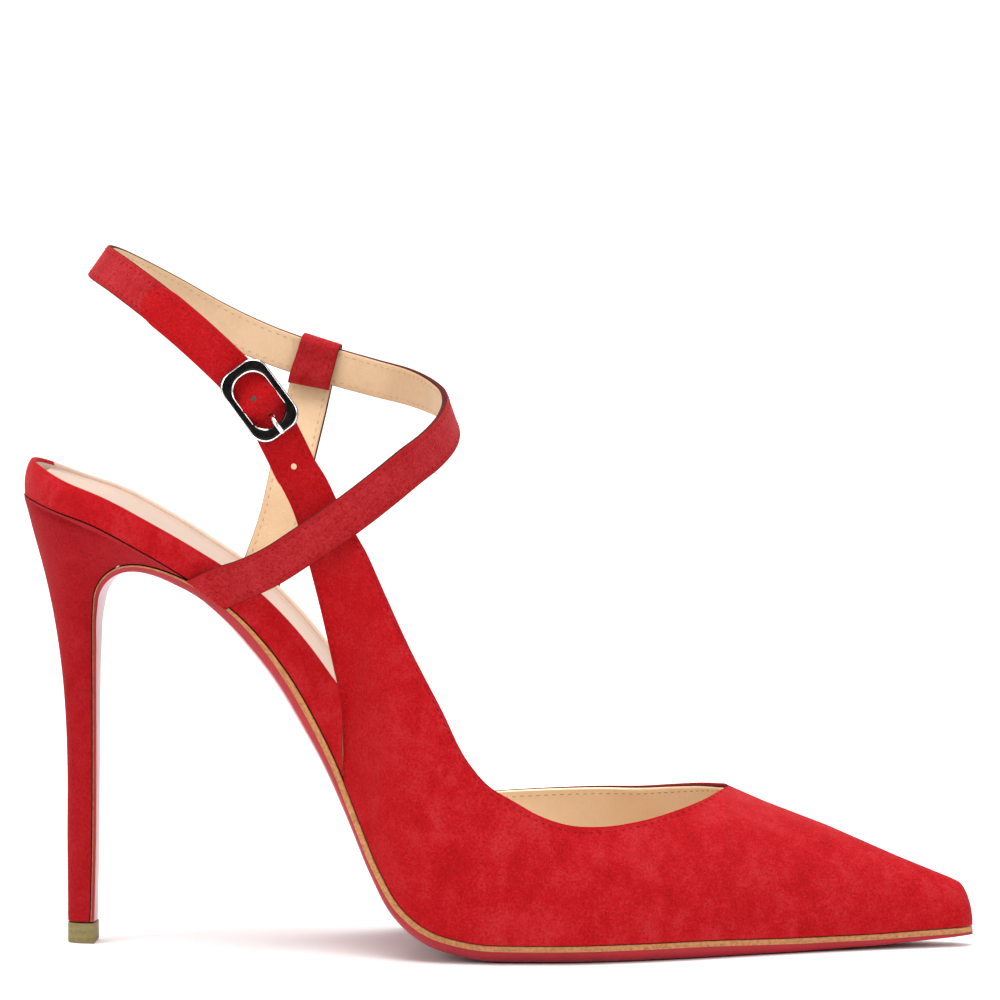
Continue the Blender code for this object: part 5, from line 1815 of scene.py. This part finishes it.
def punch(distance, radius, blind=False):
    """A rod that cuts a hole in the billet. blind: the hole ends halfway, and its floor is painted dark as
    shade.
    """
    place, _, normal, width = ribbon_frame(strap_line, BUCKLE_MARK + distance)
    if blind:
        place = place + width * HOLE_ACROSS
    if distance == PRONG_PLACE:
        place, tangent, normal, width = ribbon_frame(strap_line, BUCKLE_MARK)
        place = place + tangent * distance
    floor = place + normal * (billet_rise(distance) if blind else -0.3 * PUNCH_REACH)
    body = tube_body([floor, place + normal * PUNCH_REACH], radius, width, 24)
    return finish_mesh("punch", body, [hole_shade if blind else edge_paint])


use_boolean(upper, punch(PRONG_PLACE, PRONG_DIAMETER / 2 + SNUG), "DIFFERENCE")
for distance in SPARE_HOLES:
    use_boolean(upper, punch(distance, HOLE_RADIUS, distance > 0), "DIFFERENCE")
print("upper after punching:", len(upper.data.polygons), "faces")


# %% Slot in the ankle strap
def slot_cutter():
    place, tangent, normal, width = ribbon_frame(strap_line, BUCKLE_MARK)
    half = PRONG_DIAMETER / 2 + GAP
    rings = []
    for along in (-SLOT_BACK, SLOT_FRONT):
        corner = place + tangent * along
        corners = ((-1, -1), (1, -1), (1, 1), (-1, 1))
        rings.append([corner + width * a * half + normal * b * PUNCH_REACH for a, b in corners])
    return finish_mesh("slot", loft(rings), [edge_paint])


use_boolean(ankle_strap, slot_cutter(), "DIFFERENCE")
print("ankle strap after cutting:", len(ankle_strap.data.polygons), "faces")

# %% [markdown]
# ## Buckle
#
# The buckle is a small flat frame with round corners and an oval opening, with a thinner bar across its back
# for the strap to turn on. Its top is painted nearly black as a dark reflection, and lines of bright metal
# run along its edges as painted highlights. The prong is a pin that wraps the bar, comes up through a hole in
# the billet and rests on the frame.


# %% Buckle frame
BUCKLE_UP = STRAP_THICKNESS / 2 + GAP + UPPER_WALL + GAP + RAIL_HEIGHT / 2
# How much wider than in the plain solid the rails are, towards the opening
RAIL_PLUS = 0.25 * MM
RAIL_SIDES = 32
# A power under 1 fills the rails' round section out towards a box
SECTION_FILL = 0.6
# Corner radii as shares of the half widths
OUTER_CORNER = 0.62
HOLE_CORNER = 0.92
# Strips of the section painted in bright metal as highlights, counted from its outside round over its top
OUTER_PAINTED_HIGHLIGHT = (3, 4)
INNER_PAINTED_HIGHLIGHT = (11, 12, 13)


def round_oblong(turn, long, wide, corner):
    """The point of a rectangle with round corners for a turn from 0 to a full circle."""
    quarter = min(int(turn / (math.pi / 2)), 3)
    a, b = ((1, 1), (-1, 1), (-1, -1), (1, -1))[quarter]
    across = (wide - corner) * b + corner * math.sin(turn)
    return np.array([(long - corner) * a + corner * math.cos(turn), across])


def boxed(value):
    """Keeps the sign of a sine or cosine and fills the section out, so that its faces are flatter."""
    return math.copysign(abs(value) ** SECTION_FILL, value)


def buckle_rings():
    """The sections of the frame, each from its outside round over its top, and the turn of each."""
    place, tangent, normal, width = ribbon_frame(strap_line, BUCKLE_MARK)
    centre = place + normal * BUCKLE_UP
    long, wide = BUCKLE_LENGTH / 2, BUCKLE_WIDTH / 2
    hole_long, hole_wide = long - END_RAIL - RAIL_PLUS, wide - SIDE_RAIL - RAIL_PLUS
    turns = [turn for quarter in range(4) for turn in even(quarter, quarter + 0.999, 20)]
    rings = []
    for turn in [quarter_turn * math.pi / 2 for quarter_turn in turns]:
        outer = round_oblong(turn, long, wide, OUTER_CORNER * wide)
        inner = round_oblong(turn, hole_long, hole_wide, HOLE_CORNER * hole_wide)
        middle, half = (outer + inner) / 2, (outer - inner) / 2
        ring = []
        for angle in circle(RAIL_SIDES):
            flat = middle + half * boxed(math.cos(angle))
            rise = RAIL_HEIGHT / 2 * boxed(math.sin(angle))
            ring.append(centre + tangent * flat[0] + width * flat[1] + normal * rise)
        rings.append(ring)
    return rings, turns


def painted_highlight_strips(turns):
    """The frame is dark, with painted highlights of bright metal round its outer edge and along part of its
    opening.
    """
    strips = []
    for turn in turns:
        inner = INNER_PAINTED_HIGHLIGHT if min(turn, 4 - turn) < 1.1 or 2.3 < turn < 2.8 else ()
        strips.append([1 if k in OUTER_PAINTED_HIGHLIGHT or k in inner else 0 for k in range(RAIL_SIDES)])
    return strips


def bar_points():
    place, _, normal, width = ribbon_frame(strap_line, BUCKLE_MARK)
    centre = place + normal * BUCKLE_UP
    wide = BUCKLE_WIDTH / 2 - SIDE_RAIL / 2
    drop = BUCKLE_UP - BAR_UP
    half = [(1.0, -0.2 * RAIL_HEIGHT), (1.0, 0.35 * drop), (0.93, 0.8 * drop), (0.78, drop)]
    spots = [(-wide * share, -down) for share, down in half]
    spots += [(wide * share, -down) for share, down in half[::-1]]
    curve = Curve(spots, 2)
    fine = [curve.at(mark)[0] for mark in even(0, curve.length, 60)]
    return [centre + width * a + normal * b for a, b in fine]


frame_rings, frame_turns = buckle_rings()
frame_body = loft(frame_rings, painted_highlight_strips(frame_turns), closed=True)
# the frame is painted: dark metal as a dark reflection, with strips of bright metal as painted highlights
buckle = finish_mesh("buckle_frame_dressed", frame_body, [buckle_metal, bright_metal_and_painted_highlight], 40)
across_strap = ribbon_frame(strap_line, BUCKLE_MARK)[1]
bar = finish_mesh("bar", tube_body(bar_points(), BAR_DIAMETER / 2, across_strap, 20), [buckle_metal])
use_boolean(buckle, bar, "UNION")
dress(buckle, "buckle_frame")


# %% Prong
# Shares of the radius at the first places from each end
ROUND_END = (0.30, 0.62, 0.84, 0.96)
END_LENGTH = 0.3 * MM


def prong_body():
    place, tangent, normal, width = ribbon_frame(strap_line, BUCKLE_MARK)
    half = BUCKLE_LENGTH / 2
    curve = Curve([(a * half, b * half) for a, b in PRONG], 2)
    marks = even(0, END_LENGTH, 4) + even(END_LENGTH, curve.length - END_LENGTH, 70)[1:-1]
    marks += even(curve.length - END_LENGTH, curve.length, 4)
    spots = [curve.at(mark)[0] for mark in marks]
    points = [place + tangent * a + normal * b for a, b in spots]
    return tube_body(points, PRONG_DIAMETER / 2, width, 18, ROUND_END)


prong = finish_mesh("buckle_prong_dressed", prong_body(), [bright_metal_and_painted_highlight], 50)
dress(prong, "buckle_prong")

# %% [markdown]
# ## Stitches
#
# A row of stitches runs a little in from every cut edge. Each stitch is a short thread that comes
# out of the leather, lies on it and dips back in, so its middle stands proud and its ends are sunk.
# The rows follow lines that are worked out from the same sections as the leather, and all stitches
# of a piece are one mesh.

# %% One row of stitches
STITCH_PITCH = 1.9 * MM
STITCH_LENGTH = 1.05 * MM
THREAD = 0.125 * MM
STITCH_FORM = (
    # share of the length, size and lift as shares of the thread
    (0.00, 0.55, -0.90),
    (0.12, 0.90, -0.25),
    (0.35, 1.00, 0.15),
    (0.65, 1.00, 0.15),
    (0.88, 0.90, -0.25),
    (1.00, 0.55, -0.90),
)
THREAD_SIDES = 6


def stitch(body, ends, out):
    """Adds one stitch between two places, lifted along a direction."""
    along = unit(ends[1] - ends[0])
    out = unit(out - along * (out @ along))
    side = np.cross(along, out)
    layers = []
    for share, size, lift in STITCH_FORM:
        centre = ends[0] + (ends[1] - ends[0]) * share + out * lift * THREAD
        spokes = [side * math.cos(turn) + out * math.sin(turn) for turn in circle(THREAD_SIDES)]
        layers.append([body.verts.new(centre + spoke * THREAD * size) for spoke in spokes])
    for lower, higher in zip(layers, layers[1:]):
        for n in range(THREAD_SIDES):
            turn = (n + 1) % THREAD_SIDES
            body.faces.new((lower[n], lower[turn], higher[turn], higher[n]))
    body.faces.new(layers[0][::-1])
    body.faces.new(layers[-1])


def stitch_row(body, points, normals):
    """Adds stitches along a line of points that lie on the leather, and counts them."""
    points, normals = np.array(points), np.array(normals)
    marks = marks_along(points)
    count = int((marks[-1] - STITCH_LENGTH) / STITCH_PITCH)
    for k in range(count):
        start = STITCH_PITCH * (k + 0.3)
        ends = [read_along(mark, marks, points) for mark in (start, start + STITCH_LENGTH)]
        stitch(body, ends, unit(read_along(start, marks, normals)))
    return count


print("stitch every", STITCH_PITCH / MM, "mm")

# %% Lines on the straps
STITCH_INSET = 1.25 * MM


def strap_stitches(rows, name):
    """Rows of stitches along both edges of a strap, on its outer and its inner face."""
    for face, paint, word in ((1, red_thread, "_thread"), (-1, tan_thread, "_back_thread")):
        body = bmesh.new()
        count = 0
        for side in (-1, 1):
            line = [p + w * side * (h - STITCH_INSET) + n * face * t / 2 for p, n, w, h, t in rows]
            count += stitch_row(body, line, [n * face for _, n, _, _, _ in rows])
        made = finish_mesh(name + word, body, [paint], 40)
        dress(made, None)
        print(name, "stitches", count)


strap_stitches(ANKLE_ROWS[40:-2], "ankle_strap")
strap_stitches(MEDIAL_ROWS[3:-4], "medial_strap")


# %% Lines on the upper
def wall_line(rows, inset, distance, at_base):
    """Points on a skin at a distance in from an edge, with outward normals."""
    points, normals = [], []
    for row in rows:
        wall = np.array(wall_section(row, inset, even(0, 1, 80)))
        wall = wall[::-1] if at_base else wall
        points.append(read_along(distance, marks_along(wall), wall))
        normal = unit(row[9:12]) if at_base else unit(row[6:9])
        normals.append(-normal if inset else normal)
    return points, normals


def upper_stitches():
    _, outer, inner = upper_stations()
    lines = ((outer[1:-3], False), (outer[OUTER_COUNT:-3], True), (inner[1:-2], False))
    skins = ((0.0, red_thread, "upper_thread"), (UPPER_WALL, tan_thread, "upper_back_thread"))
    for inset, paint, word in skins:
        body = bmesh.new()
        count = 0
        for rows, at_base in lines:
            count += stitch_row(body, *wall_line(rows, inset, STITCH_INSET, at_base))
        dress(finish_mesh(word, body, [paint], 40), None)
        print(word, "stitches", count)


upper_stitches()

# %% [markdown]
# ## Last sizes
#
# The dressed shoe has to fill the same box as the imported one, so both boxes are printed before the scene is
# closed.

# %% Sizes and finish
visual_box = [[float(number) for number in corner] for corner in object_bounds()]
for word, box in (("packed", CAD_BOX), ("dressed", visual_box)):
    print(word, "box in mm:", np.round(np.array(box) / MM, 1).tolist())
